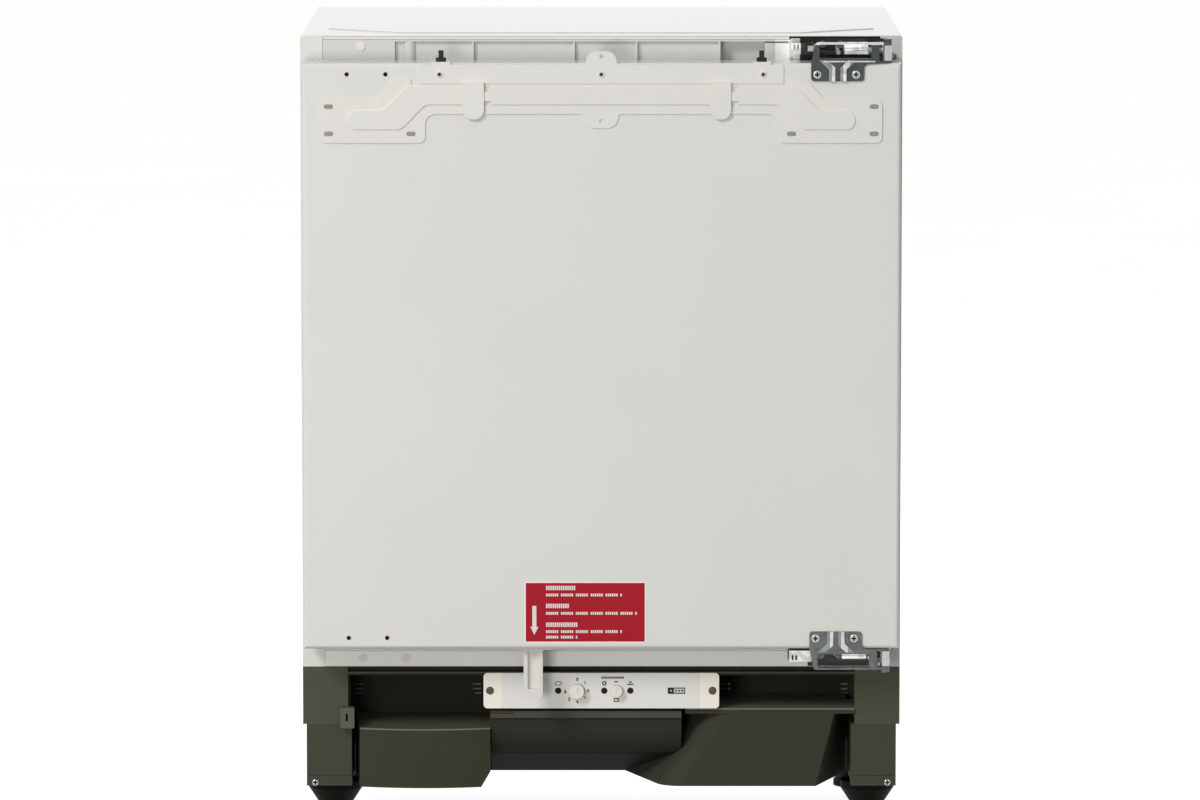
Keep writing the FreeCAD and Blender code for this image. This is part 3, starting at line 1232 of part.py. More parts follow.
def thermostat_knob():
    return knob(DIAL_X, DIAL_R, DIAL_DEPTH)


def selector_knob():
    return knob(SELECTOR_X, SELECTOR_R, SELECTOR_DEPTH)


def switch_body(x, half_width):
    """Switch behind the fascia, with a socket for the knob's shaft."""
    front = PANEL_BACK + HOUSING_WALL
    body = box(x - half_width, x + half_width, front, front + SWITCH_DEPTH,
               PANEL_MIDDLE - SWITCH_HALF_HEIGHT, PANEL_MIDDLE + SWITCH_HALF_HEIGHT)
    return body.cut(bore(KNOB_SHAFT_R + SEAT_GAP, x, PANEL_MIDDLE, front, KNOB_SHAFT))


def thermostat_switch():
    return switch_body(DIAL_X, THERMOSTAT_HALF)


def selector_switch():
    return switch_body(SELECTOR_X, SELECTOR_HALF)


def control_board():
    front = PANEL_BACK + HOUSING_WALL + SWITCH_DEPTH
    half = HOUSING_HALF - HOUSING_WALL
    return box(-half, half, front, front + BOARD_THICK, HOUSING_LOW + HOUSING_WALL,
               DECK_LIP_LOW - HOUSING_WALL)


# Moulded base

def side_shell(inset, drop):
    """Form of the left runner with a stepped leg at each end, drawn in by a wall and let down below."""
    out, low_out, low_in = inset - HALF, inset - LEG_LOW_OUT, -LEG_LOW_IN - inset
    front_end, rear_end = LEG_DEPTH - inset, BASE_DEPTH - LEG_DEPTH + inset
    low = BASE_BOTTOM - drop
    upper = box(out, -LEG_IN_X - inset, inset, BASE_DEPTH - inset, LEG_STEP_Z - drop, BASE_TOP - inset)
    front = box(low_out, low_in, inset, front_end, low, LEG_STEP_Z)
    rear = box(low_out, low_in, rear_end, BASE_DEPTH - inset, low, LEG_STEP_Z)
    runner = box(low_out, low_in, LEG_DEPTH - RUNNER_LAP, BASE_DEPTH - LEG_DEPTH + RUNNER_LAP,
                 low + RUNNER_RISE, LEG_STEP_Z)
    return upper.fuse([front, rear, runner])


def base_side_left():
    """Runner moulded as an open shell, with a boss and a web for each foot."""
    moulding = side_shell(0.0, 0.0).cut(side_shell(BASE_WALL, CUT))
    bore_r = FOOT_STEM_R + SLIDE_GAP
    added, cuts = [], []
    for y in (FOOT_END, FOOT_REAR_Y):
        added.append(rod(bore_r + FOOT_BOSS_WALL, (-FOOT_X, y, BASE_BOTTOM), UPWARD,
                         BASE_TOP - BASE_BOTTOM - BASE_WALL))
        added.append(box(WEB_INSET - LEG_LOW_OUT, -LEG_IN_X - WEB_INSET, y - BASE_WALL / 2,
                         y + BASE_WALL / 2, BASE_BOTTOM + WEB_FOOT, BASE_TOP - WEB_INSET))
        cuts.append(rod(bore_r, (-FOOT_X, y, BASE_BOTTOM - CUT), UPWARD, FOOT_STEM + 2 * CUT))
    cuts.append(bore(SCREW_HOLE_R, -LEG_SCREW_X, LEG_SCREW_Z, 0.0, BASE_WALL + CUT))
    groove = BASE_BOTTOM + LEG_GROOVE_RISE
    cuts.append(box(-HALF, -LEG_LOW_IN + CUT, -CUT, LEG_GROOVE, groove, groove + LEG_GROOVE))
    return join(moulding, *added).cut(cuts)


def base_side_right():
    gland = bore(GLAND_BODY_R + SEAT_GAP, FOOT_X, GLAND_Z, BASE_DEPTH - BASE_WALL, BASE_WALL + CUT)
    return mirror_x(base_side_left()).cut(gland)


def base_deck():
    """Deck between the runners, with a lip over the control panel, open over the machine room."""
    lip_back = DECK_SET_BACK + BASE_WALL
    profile = [(-DECK_LIP_OUT, DECK_LIP_LOW), (-DECK_LIP_OUT, DECK_LIP_TOP, DECK_LIP_EDGE),
               (DECK_SET_BACK, DECK_LIP_TOP), (DECK_SET_BACK, BASE_TOP), (MACHINE_FRONT, BASE_TOP),
               (MACHINE_FRONT, DECK_LOW), (lip_back, DECK_LOW), (lip_back, DECK_LIP_LOW)]
    return prism(profile, "yz", -LEG_IN_X, LEG_IN_X)


def louvre_hood(x, top):
    """Roof and apron behind one slot, which keep water and sight out of the machine room."""
    half, start, end = LOUVRE_WIDTH / 2, VENT_WALL_Y + BASE_WALL, VENT_WALL_Y + BASE_WALL + LOUVRE_HOOD_DEPTH
    low, high = top - LOUVRE_SLOT - LOUVRE_HOOD_DROP, top + LOUVRE_HOOD
    return prism([(start, top), (end - LOUVRE_HOOD, top), (end - LOUVRE_HOOD, low), (end, low), (end, high),
                  (start, high)], "yz", x - half, x + half)


def vent_back_wall():
    """Wall behind the air openings, with a few hooded louvres at each end of them."""
    half = [(LEG_LOW_IN, BASE_BOTTOM), (LEG_LOW_IN, LEG_STEP_Z), (LEG_IN_X, LEG_STEP_Z), (LEG_IN_X, DECK_LOW)]
    wall = prism(half + mirrored(half), "xz", VENT_WALL_Y, VENT_WALL_Y + BASE_WALL)
    places = [(x, LOUVRE_TOP - k * LOUVRE_PITCH) for x in LOUVRE_X for k in range(LOUVRE_COUNT)]
    slots = [box(x - LOUVRE_WIDTH / 2, x + LOUVRE_WIDTH / 2, VENT_WALL_Y - CUT, VENT_WALL_Y + BASE_WALL + CUT,
                 top - LOUVRE_SLOT, top) for x, top in places]
    return join(wall, *[louvre_hood(x, top) for x, top in places]).cut(slots)


def scoop_form(inset, back, low, top):
    """Form of the intake scoop: its front bows forward in plan, its left side runs back to the leg, and a
    lower corner is nipped off."""
    left, right, front = SCOOP_LEFT + inset, SCOOP_RIGHT - inset, SCOOP_FRONT + inset
    rear = SEAT_GAP - LEG_LOW_IN + inset
    corners = [V(x, y, low) for x, y in ((left, front), (rear, back), (right, back), (right, front))]
    bow = Part.Arc(corners[3], V((left + right) / 2, front - SCOOP_BOW, low), corners[0]).toShape()
    edges = rounded_edges([(corner, 0.0) for corner in corners], False)
    plan = Part.Face(Part.Wire(edges + [bow])).extrude(NORMAL["xy"] * (top - low))
    face = prism([(rear, low), (right - SCOOP_NIP_X, low), (right, low + SCOOP_NIP_Z), (right, top),
                  (rear, top)], "xz", front - SCOOP_BOW, back)
    return plan.common(face)


def intake_scoop():
    """Air intake: a shelf and a bulging front, open behind and below."""
    outer = scoop_form(0.0, VENT_WALL_Y, BASE_BOTTOM, SCOOP_SHELF)
    rim = [e for e in outer.Edges
           if e.BoundBox.ZMin > SCOOP_SHELF - CUT and e.BoundBox.YMax < VENT_WALL_Y / 2]
    outer = outer.makeChamfer(SCOOP_EDGE, rim)
    return outer.cut(scoop_form(BASE_WALL, VENT_WALL_Y + CUT, BASE_BOTTOM - CUT, SCOOP_SHELF - BASE_WALL))


def recess_panel():
    """Middle of the base: a lip, a plain wall and a curve that runs back underneath."""
    wall, top, back = BASE_WALL, RECESS_TOP, VENT_WALL_Y
    turn, lip_low = RECESS_TOP - RECESS_WALL_DROP, RECESS_TOP - RECESS_LIP
    profile = [(-RECESS_LIP_OUT, top), (-RECESS_LIP_OUT, lip_low), (0.0, lip_low), (0.0, turn, RECESS_CURVE),
               (back, BASE_BOTTOM), (back, BASE_BOTTOM + wall),
               (wall, turn + RECESS_KNEE, RECESS_CURVE - wall), (wall, top - wall), (back, top - wall),
               (back, top)]
    notch = box(RECESS_LEFT - CUT, RECESS_LEFT + RECESS_NOTCH, -RECESS_LIP_OUT - CUT, 0.0,
                top - RECESS_NOTCH_DROP, top + CUT)
    return prism(profile, "yz", RECESS_LEFT, RECESS_RIGHT).cut([notch, chute_form(0.0), chute_lip(SEAT_GAP)])


def chute_form(inset):
    """Form of the outlet chute: it leans to the left towards its foot and its back, with a round corner, and
    its right side runs back to the leg."""
    front, back, rear = CHUTE_FRONT + inset, VENT_WALL_Y + inset, LEG_LOW_IN - SEAT_GAP - inset

    def plan(left, right, z):
        return outline([(left + inset, front, CHUTE_ROUND), (right - inset, front), (rear, back),
                        (left - CHUTE_SWEEP + inset, back)], "xy", z)

    return loft([plan(CHUTE_LOW_LEFT, CHUTE_LOW_RIGHT, BASE_BOTTOM - inset),
                 plan(CHUTE_TOP_LEFT, CHUTE_TOP_RIGHT, CHUTE_SHELF - inset)])


def chute_lip(grow):
    return box(CHUTE_LIP_LEFT - grow, LEG_IN_X, CHUTE_FRONT, CHUTE_SHELF_DEPTH,
               CHUTE_SHELF - CHUTE_LIP - grow, CHUTE_SHELF)


def outlet_chute():
    under = box(CHUTE_LIP_LEFT - CUT, LEG_IN_X + CUT, CHUTE_FRONT + BASE_WALL, CHUTE_SHELF_DEPTH + CUT,
                CHUTE_SHELF - CHUTE_LIP - CUT, CHUTE_SHELF - BASE_WALL)
    return join(chute_form(0.0), chute_lip(0.0).cut(under)).cut(chute_form(BASE_WALL))


def grille_clip():
    left, low = -LEG_IN_X - CLIP_LAP, SCOOP_SHELF + SEAT_GAP
    right, high, wall = left + CLIP_WIDTH, low + CLIP_HEIGHT, CLIP_WALL
    body = prism(rectangle(left, right, low, high, CLIP_CORNER), "xz", -CLIP_DEPTH, 0.0)
    hollow = box(left + wall, right - wall, -CLIP_DEPTH + wall, CUT, low + wall, high - wall)
    slot_x, slot_z = left + CLIP_SLOT_X, low + CLIP_SLOT_LOW
    slot = box(slot_x, slot_x + CLIP_SLOT, -CLIP_DEPTH - CUT, CUT, slot_z, slot_z + CLIP_SLOT_HEIGHT)
    return body.cut([hollow, slot])


def leg_screws():
    return pair(screw(LEG_SCREW_X, 0.0, LEG_SCREW_Z, LEG_SCREW_R, LEG_SCREW_LENGTH))


def foot(x, y):
    """Adjustable foot: threaded stem, wide collar to turn it by, waist and pad."""
    top = BASE_BOTTOM - SLIDE_GAP
    collar, tip = top - FOOT_COLLAR, top + FOOT_STEM
    profile = [(0.0, 0.0), (FOOT_PAD_R, 0.0), (FOOT_PAD_R, FOOT_PAD), (FOOT_NECK_R, FOOT_PAD + FOOT_FLARE),
               (FOOT_NECK_R, collar - FOOT_TAPER), (FOOT_COLLAR_R, collar), (FOOT_COLLAR_R, top),
               (FOOT_STEM_R, top), (FOOT_STEM_R, tip), (0.0, tip)]
    return revolved(profile, x, y)


# Inside: shelves and drawers

def evaporator_shelf(level):
    """Cold plate on the liner's ledges with its refrigerant tube laid in passes underneath."""
    half, back = CAVITY_HALF - SEAT_GAP, CAVITY_DEPTH - SEAT_GAP
    plate = box(-half, half, EVAPORATOR_FRONT, back, level, level + EVAPORATOR_SHEET)
    first, last = EVAPORATOR_FRONT + EVAPORATOR_MARGIN, back - EVAPORATOR_MARGIN
    pitch = (last - first) / (EVAPORATOR_PASSES - 1)
    z = level - EVAPORATOR_TUBE_R + EVAPORATOR_TUBE_SINK
    rows = [(first + k * pitch, z) for k in range(EVAPORATOR_PASSES)]
    points = serpentine(CAVITY_HALF - EVAPORATOR_MARGIN, rows)
    return join(plate, tube(points, pitch * BEND_SHARE, EVAPORATOR_TUBE_R))


def evaporator_shelves():
    return Part.makeCompound([evaporator_shelf(z) for z in SHELF_Z])


def drawer_bay(index):
    """Floor, head and back of a drawer's space, counted from the lowest."""
    floors = (CAVITY_FLOOR,) + tuple(z + EVAPORATOR_SHEET for z in SHELF_Z)
    heads = tuple(z - 2 * EVAPORATOR_TUBE_R for z in SHELF_Z) + (CAVITY_ROOF,)
    back = MACHINE_FRONT if index == 0 else CAVITY_DEPTH
    return floors[index] + DRAWER_FLOOR_GAP, heads[index] - DRAWER_HEAD_GAP, back - DRAWER_REAR_GAP


def drawer_basket(index):
    """Tub that widens upwards, open at the top."""
    low, high, back = drawer_bay(index)
    front, rim = DRAWER_FRONT_Y + DRAWER_FRONT, high - DRAWER_RIM_DROP

    def tub(inset, z0, z1):
        half = CAVITY_HALF - DRAWER_SIDE_GAP - inset
        return loft([outline(rectangle(t - half, half - t, front + inset, back - t - inset, DRAWER_CORNER),
                             "xy", z) for t, z in ((DRAWER_TAPER, z0), (0.0, z1))])

    return tub(0.0, low, rim).cut(tub(DRAWER_WALL, low + DRAWER_WALL, rim + CUT))


def drawer_front(index):
    """Front with a grip lip along its top and a finger hollow behind it."""
    low, high, _ = drawer_bay(index)
    half = CAVITY_HALF - DRAWER_FRONT_GAP
    face, back = DRAWER_FRONT_Y, DRAWER_FRONT_Y + DRAWER_FRONT
    grip = face - GRIP_REACH
    profile = [(face, low, DRAWER_EDGE), (back, low), (back, high, GRIP_CORNER), (grip, high, GRIP_CORNER),
               (grip, high - GRIP_LIP, GRIP_CORNER), (face, high - GRIP_HEIGHT, FINGER_CORNER)]
    finger = prism(rectangle(-FINGER_HALF, FINGER_HALF, high - FINGER_LOW, high - FINGER_HIGH, FINGER_CORNER),
                   "xz", face + FINGER_WALL, back + CUT)
    return prism(profile, "yz", -half, half).cut(finger)


def drawer_baskets():
    return Part.makeCompound([drawer_basket(k) for k in range(DRAWER_COUNT)])


def drawer_fronts():
    return Part.makeCompound([drawer_front(k) for k in range(DRAWER_COUNT)])


# Cooling circuit

def compressor_plate():
    front, back, wall = PLATE_FRONT, BASE_DEPTH, PLATE_THICK
    low, top = PLATE_Z, PLATE_Z + PLATE_LIP
    profile = [(front, low), (back, low), (back, top), (back - wall, top), (back - wall, low + wall),
               (front + wall, low + wall), (front + wall, top), (front, top)]
    return prism(profile, "yz", -LEG_LOW_IN, LEG_LOW_IN)


def compressor_mounts():
    base, top = PLATE_TOP, POT_LOW
    profile = [(0.0, base), (MOUNT_R, base), (MOUNT_R, base + MOUNT_FLANGE),
               (MOUNT_WAIST_R, (base + top) / 2), (MOUNT_R, top - MOUNT_FLANGE), (MOUNT_R, top), (0.0, top)]
    return Part.makeCompound([revolved(profile, POT_X + sx * MOUNT_X, POT_Y + sy * MOUNT_Y)
                              for sx in (-1, 1) for sy in (-1, 1)])


def dome(flat_r, flat_z, side_z):
    """Arc from the pot's flat end to its side, through the middle of a quarter ellipse."""
    share = math.sqrt(0.5)
    middle = V(flat_r + (POT_R - flat_r) * share, 0, side_z + (flat_z - side_z) * share)
    return Part.Arc(V(flat_r, 0, flat_z), middle, V(POT_R, 0, side_z)).toShape()


def compressor():
    """Welded pot on a foot plate, with sockets for its two pipes."""
    reach_x, reach_y = MOUNT_X + MOUNT_R, MOUNT_Y + MOUNT_R
    foot_plate = prism(rectangle(POT_X - reach_x, POT_X + reach_x, POT_Y - reach_y, POT_Y + reach_y, MOUNT_R),
                       "xy", POT_LOW, POT_LOW + POT_FOOT)
    base, top = POT_LOW + POT_FOOT - POT_SINK, POT_TOP
    seam, rim = (base + top) / 2 - POT_SEAM_DROP, POT_R + POT_SEAM
    side = [(POT_R, base + POT_DOME), (POT_R, seam - POT_SEAM), (rim, seam - POT_SEAM),
            (rim, seam + POT_SEAM), (POT_R, seam + POT_SEAM), (POT_R, top - POT_DOME)]
    runs = list(zip(side, side[1:]))
    runs += [((POT_CROWN_R, top), (0, top)), ((0, top), (0, base)), ((0, base), (POT_FLOOR_R, base))]
    edges = [Part.LineSegment(V(a[0], 0, a[1]), V(b[0], 0, b[1])).toShape() for a, b in runs]
    edges += [dome(POT_FLOOR_R, base, base + POT_DOME), dome(POT_CROWN_R, top, top - POT_DOME)]
    wire = Part.Wire(Part.__sortEdges__(edges))
    pot = Part.Face(wire).revolve(V(0, 0, 0), V(*UPWARD), 360)
    pot.translate(V(POT_X, POT_Y, 0))
    stubs = [rod(PIPE_R + PIN_GAP, (POT_X + s * POT_STUB, POT_Y, top - POT_STUB_DIP), UPWARD, POT_STUB_DIP)
             for s in (-1, 1)]
    return join(pot, foot_plate).cut(stubs)


def compressor_terminal_box():
    wide, deep, tall = TERMINAL_SIZE
    x, low = POT_X + POT_R + POT_SEAM + SEAT_GAP, POT_LOW + POT_FOOT + POT_DOME
    body = box(x, x + wide, POT_Y - deep / 2, POT_Y + deep / 2, low, low + tall)
    return body.makeFillet(TERMINAL_CORNER, [e for e in body.Edges if e.BoundBox.XMin > x + wide / 2])


def condenser_points():
    rows = [(CONDENSER_Y, CONDENSER_TOP - k * CONDENSER_PITCH) for k in range(CONDENSER_PASSES)]
    return serpentine(CONDENSER_HALF, rows)


def condenser_tube():
    return tube(condenser_points(), CONDENSER_BEND, CONDENSER_TUBE_R)


def condenser_wires():
    points = condenser_points()
    top, low = points[0][2] + WIRE_OVERHANG, points[-1][2] - WIRE_OVERHANG
    reach = CONDENSER_HALF - CONDENSER_BEND - WIRE_SIDE
    offset = CONDENSER_TUBE_R + WIRE_R + PIN_GAP
    wires = []
    for k in range(WIRE_COUNT):
        x = -reach + 2 * reach * k / (WIRE_COUNT - 1)
        side = 1 if k % 2 else -1
        wires.append(rod(WIRE_R, (x, CONDENSER_Y + side * offset, low), UPWARD, top - low))
    return Part.makeCompound(wires)


def condenser_brackets():
    """Stand-offs from the back panel that cradle the condenser's outer passes."""
    points = condenser_points()
    middle = CONDENSER_HALF - CONDENSER_BEND - BRACKET_WIDTH
    half = BRACKET_WIDTH / 2
    reach = CONDENSER_Y - CONDENSER_TUBE_R - 2 * WIRE_R - SEAT_GAP - BRACKET_BACK_OFF
    blocks = []
    for z in (points[2][2], points[-3][2]):
        low, high = z - BRACKET_HALF_HEIGHT, z + BRACKET_HALF_HEIGHT
        for x in (-middle, middle):
            post = box(x - half, x + half, BACK_FACE, reach, low, high)
            hook = box(x - HOOK_HALF, x + HOOK_HALF, reach - CUT, CONDENSER_Y + CONDENSER_TUBE_R, low, high)
            groove = rod(CONDENSER_TUBE_R + PIN_GAP, (x - BRACKET_WIDTH, CONDENSER_Y, z), (1, 0, 0),
                         2 * BRACKET_WIDTH)
            blocks.append(join(post, hook).cut(groove))
    return Part.makeCompound(blocks)


def filter_drier():
    """Swaged copper cartridge between condenser and capillary."""
    low, high = DRIER_Z, DRIER_TOP
    profile = [(0.0, low), (DRIER_NECK_R, low), (DRIER_NECK_R, low + DRIER_NECK),
               (DRIER_R, low + DRIER_SHOULDER), (DRIER_R, high - DRIER_SHOULDER),
               (DRIER_NECK_R, high - DRIER_NECK), (DRIER_NECK_R, high), (0.0, high)]
    return revolved(profile, DRIER_X, PIPE_Y)


def pipework():
    """Discharge and suction lines, the line to the drier, and the capillary into the cabinet's back."""
    points = condenser_points()
    inlet, outlet = points[0], points[-1]
    edge = CONDENSER_HALF + PIPE_SIDE
    dip = POT_TOP - POT_STUB_DIP + SEAT_GAP
    low_run, high_run = POT_TOP + PIPE_RISE, POT_TOP + PIPE_HIGH_RISE
    line_y, entry_y = BACK_FACE + PIPE_STANDOFF, SHELL_DEPTH - PIPE_ENTRY + SEAT_GAP
    left, right = POT_X - POT_STUB, POT_X + POT_STUB
    discharge = [(left, POT_Y, dip), (left, POT_Y, low_run), (left, CONDENSER_Y, low_run),
                 (-edge, CONDENSER_Y, low_run), (-edge, CONDENSER_Y, inlet[2]),
                 (inlet[0] - SEAT_GAP, CONDENSER_Y, inlet[2])]
    suction = [(right, POT_Y, dip), (right, POT_Y, high_run), (right, line_y, high_run),
               (PIPE_ENTRY_X, line_y, high_run), (PIPE_ENTRY_X, line_y, PIPE_ENTRY_Z),
               (PIPE_ENTRY_X, entry_y, PIPE_ENTRY_Z)]
    over = DRIER_TOP + 3 * PIPE_BEND
    liquid = [(outlet[0] + SEAT_GAP, CONDENSER_Y, outlet[2]), (edge, CONDENSER_Y, outlet[2]),
              (edge, CONDENSER_Y, over), (edge, PIPE_Y, over), (DRIER_X, PIPE_Y, over),
              (DRIER_X, PIPE_Y, DRIER_TOP)]
    under, rise = DRIER_Z - 2 * PIPE_BEND, DRIER_Z + DRIER_LENGTH / 2
    capillary = [(DRIER_X, PIPE_Y, DRIER_Z), (DRIER_X, PIPE_Y, under), (CAPILLARY_X, PIPE_Y, under),
                 (CAPILLARY_X, PIPE_Y, rise), (CAPILLARY_X, line_y, rise),
                 (CAPILLARY_X, line_y, PIPE_ENTRY_Z), (CAPILLARY_X, entry_y, PIPE_ENTRY_Z)]
    lines = [tube(route, PIPE_BEND, PIPE_R) for route in (discharge, suction, liquid)]
    return Part.makeCompound(lines + [tube(capillary, PIPE_BEND, CAPILLARY_R)])


def cord_gland():
    start = BASE_DEPTH - GLAND_LENGTH
    flange = rod(GLAND_R, (FOOT_X, BASE_DEPTH, GLAND_Z), INWARD, GLAND_FLANGE)
    body = rod(GLAND_BODY_R, (FOOT_X, start, GLAND_Z), INWARD, GLAND_LENGTH)
    return join(flange, body).cut(bore(GLAND_BORE, FOOT_X, GLAND_Z, start, GLAND_LENGTH + GLAND_FLANGE + CUT))


NODES = {
    "cabinet_wrap": cabinet_wrap,
    "cabinet_bottom": cabinet_bottom,
    "back_panel": back_panel,
    "inner_liner": inner_liner,
    "insulation_foam": insulation_foam,
    "top_rail": top_rail,
    "bottom_rail": bottom_rail,
    "screw_caps": screw_caps,
    "hinge_cabinet_leaves": lambda: ends(hinge_cabinet_leaf()),
    "cabinet_hinge_pins": cabinet_hinge_pins,
    "hinge_cabinet_screws": hinge_cabinet_screws,
    "hinge_main_arms": lambda: ends(hinge_main_arm()),
    "hinge_guide_arms": lambda: ends(hinge_guide_arm()),
    "hinge_door_leaves": lambda: ends(hinge_door_leaf()),
    "door_hinge_pins": door_hinge_pins,
    "door_front_screws": door_front_screws,
    "door_skin": door_skin,
    "door_foam": door_foam,
    "door_liner": door_liner,
    "door_gasket": door_gasket,
    "decor_rail": decor_rail,
    "height_adjuster_studs": height_adjuster_studs,
    "decor_carrier": decor_carrier,
    "alarm_magnet_arm": alarm_magnet_arm,
    "alarm_magnet": alarm_magnet,
    "control_fascia": control_fascia,
    "control_housing": control_housing,
    "panel_screws": panel_screws,
    "indicator_lenses": indicator_lenses,
    "thermostat_knob": thermostat_knob,
    "selector_knob": selector_knob,
    "thermostat_switch": thermostat_switch,
    "selector_switch": selector_switch,
    "control_board": control_board,
    "base_side_left": base_side_left,
    "base_side_right": base_side_right,
    "base_deck": base_deck,
    "vent_back_wall": vent_back_wall,
    "intake_scoop": intake_scoop,
    "recess_panel": recess_panel,
    "outlet_chute": outlet_chute,
    "grille_clip": grille_clip,
    "leg_screws": leg_screws,
    "foot_front_left": lambda: foot(-FOOT_X, FOOT_END),
    "foot_front_right": lambda: foot(FOOT_X, FOOT_END),
    "foot_rear_left": lambda: foot(-FOOT_X, FOOT_REAR_Y),
    "foot_rear_right": lambda: foot(FOOT_X, FOOT_REAR_Y),
    "evaporator_shelves": evaporator_shelves,
    "drawer_baskets": drawer_baskets,
    "drawer_fronts": drawer_fronts,
    "compressor_plate": compressor_plate,
    "compressor": compressor,
    "compressor_mounts": compressor_mounts,
    "compressor_terminal_box": compressor_terminal_box,
    "condenser_tube": condenser_tube,
    "condenser_wires": condenser_wires,
    "condenser_brackets": condenser_brackets,
    "filter_drier": filter_drier,
    "pipework": pipework,
    "cord_gland": cord_gland,
}

os.makedirs("parts", exist_ok=True)
for name, build in NODES.items():
    solid = build()
    solid.translate(V(0, Y_SHIFT, 0))
    solid.exportStep(f"parts/{name}.step")
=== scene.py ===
import math

import bpy
import numpy as np
from mathutils import Matrix, Vector


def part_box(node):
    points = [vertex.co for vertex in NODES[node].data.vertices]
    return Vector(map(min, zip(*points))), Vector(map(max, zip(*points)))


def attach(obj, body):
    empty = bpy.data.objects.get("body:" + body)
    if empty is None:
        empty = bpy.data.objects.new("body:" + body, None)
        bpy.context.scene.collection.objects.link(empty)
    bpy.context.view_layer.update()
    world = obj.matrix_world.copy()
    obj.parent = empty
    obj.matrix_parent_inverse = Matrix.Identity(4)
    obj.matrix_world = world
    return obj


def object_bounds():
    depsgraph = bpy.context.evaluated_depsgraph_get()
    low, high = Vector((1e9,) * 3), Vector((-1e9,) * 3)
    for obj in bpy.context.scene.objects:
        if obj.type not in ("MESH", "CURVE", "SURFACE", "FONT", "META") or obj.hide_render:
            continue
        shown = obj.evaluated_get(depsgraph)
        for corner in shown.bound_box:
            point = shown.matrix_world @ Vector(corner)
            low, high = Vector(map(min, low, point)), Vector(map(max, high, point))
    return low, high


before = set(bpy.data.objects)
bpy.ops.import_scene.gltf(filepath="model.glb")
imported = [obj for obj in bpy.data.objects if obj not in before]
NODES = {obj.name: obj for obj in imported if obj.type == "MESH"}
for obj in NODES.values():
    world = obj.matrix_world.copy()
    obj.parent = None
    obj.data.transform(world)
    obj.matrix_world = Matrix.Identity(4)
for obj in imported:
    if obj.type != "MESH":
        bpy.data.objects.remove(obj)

CAD_BOX = [list(corner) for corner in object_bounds()]

bl_info = {
    "name": "Built-in freezer finish",
    "version": (1, 0, 0),
    "blender": (4, 5, 0),
    "location": "View3D > Sidebar > Freezer",
    "description": "Finishes, printed marks and studio for a freezer that is built in under a worktop",
    "category": "Object",
}

MM = 0.001
FAR = 9000.0  # mm, past every edge of the object
NEAR = 1e-6  # m, two points closer than this count as one

# Kinds of shader node, and the sockets of a Mix node that mixes colours.
NOISE, CELLS = "ShaderNodeTexNoise", "ShaderNodeTexVoronoi"
MIX, RANGE, BUMP = "ShaderNodeMix", "ShaderNodeMapRange", "ShaderNodeBump"
MATH, VECTOR_MATH = "ShaderNodeMath", "ShaderNodeVectorMath"
SHARE, FIRST, SECOND = 0, 6, 7
MIXED = 2

# Places read from the solids, in metres. The door's front faces -Y.
DOOR_LOW, DOOR_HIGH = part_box("door_skin")
DOOR_FRONT = DOOR_LOW.y
PANEL_LOW, PANEL_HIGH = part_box("control_fascia")
PANEL_FRONT = PANEL_LOW.y
PANEL_MIDDLE = (PANEL_LOW.z + PANEL_HIGH.z) / 2
KNOB_LOW, KNOB_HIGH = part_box("thermostat_knob")
KNOB_X = (KNOB_LOW.x + KNOB_HIGH.x) / 2
SELECTOR_LOW, SELECTOR_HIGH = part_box("selector_knob")
SELECTOR_X = (SELECTOR_LOW.x + SELECTOR_HIGH.x) / 2
LENSES = np.array([-43.0, 3.0, 29.0]) * MM
CABINET_FRONT = CAD_BOX[0][1] + 64.5 * MM

# Heights in mm of the half with the lower hinge and of the half with the upper one.
LOWER_HALF, UPPER_HALF = (0.0, 500.0), (500.0, FAR)

# Stage, in metres: the floor, and each lamp's place and side. All lamps look at one point.
FLOOR_REACH, FLOOR_CELLS = 14.0, 14
FLOOR_GLOW = 0.88
KEY_LAMP = (-2.4, CABINET_FRONT - 3.4, 3.0), 1.2
FILL_LAMP = (-1.0, CABINET_FRONT - 4.6, 0.55), 1.0
BACK_LAMP = (0.0, 3.0, 2.1), 0.9
LAMP_AIM = (0.0, CAD_BOX[0][1], 0.42)
SENSOR_WIDTH = 36.0  # mm
CAMERA_REACH = 100.0

# Layers of print, and the dashes that stand for words.
FILM = 0.2 * MM
INK = 0.05 * MM
DASH_PITCH, DASH_WIDTH = 2.1 * MM, 1.5 * MM

# The sticker: its middle, its white edge, and the corner radii of the film and of the red field.
STICKER_X, STICKER_Z = -15.9 * MM, 246.7 * MM
STICKER_EDGE = 1.3 * MM
FILM_CORNER, FIELD_CORNER = 1.5 * MM, 0.6 * MM
# Rows of its print in mm: rise from the middle, length and height. A tall row is a title, and in the
# others each seventh dash is left out, as between words.
STICKER_ROWS = ((24.3, 27.7, 4.4), (17.3, 75.2, 2.8), (6.4, 22.8, 4.4), (-1.0, 89.0, 2.8),
                (-12.4, 29.7, 4.4), (-19.3, 74.3, 2.8), (-24.8, 29.7, 2.8))
ROWS_LEFT = -38.0 * MM
TITLE_HEIGHT, WORD = 4.0, 7
# Its arrow: the x of its middle line, and its outline about that, from the shaft's top round the tip.
ARROW_X = -50.4 * MM
ARROW = np.array([[-2, 6.4], [-2, -14.5], [-4, -14.5], [0, -22.6], [4, -14.5], [2, -14.5],
                  [2, 6.4]]) * MM

# Dark discs in the decor rail's screw sockets, painted shade: inset from its ends, drop from the
# door's top, and size.
SOCKET_SHADE_INSET, SOCKET_SHADE_DROP = 20 * MM, 11 * MM
SOCKET_SHADE_PROUD, SOCKET_SHADE_RADIUS, SOCKET_SHADE_HOLLOW = 2.3 * MM, 2.2 * MM, 0.5 * MM
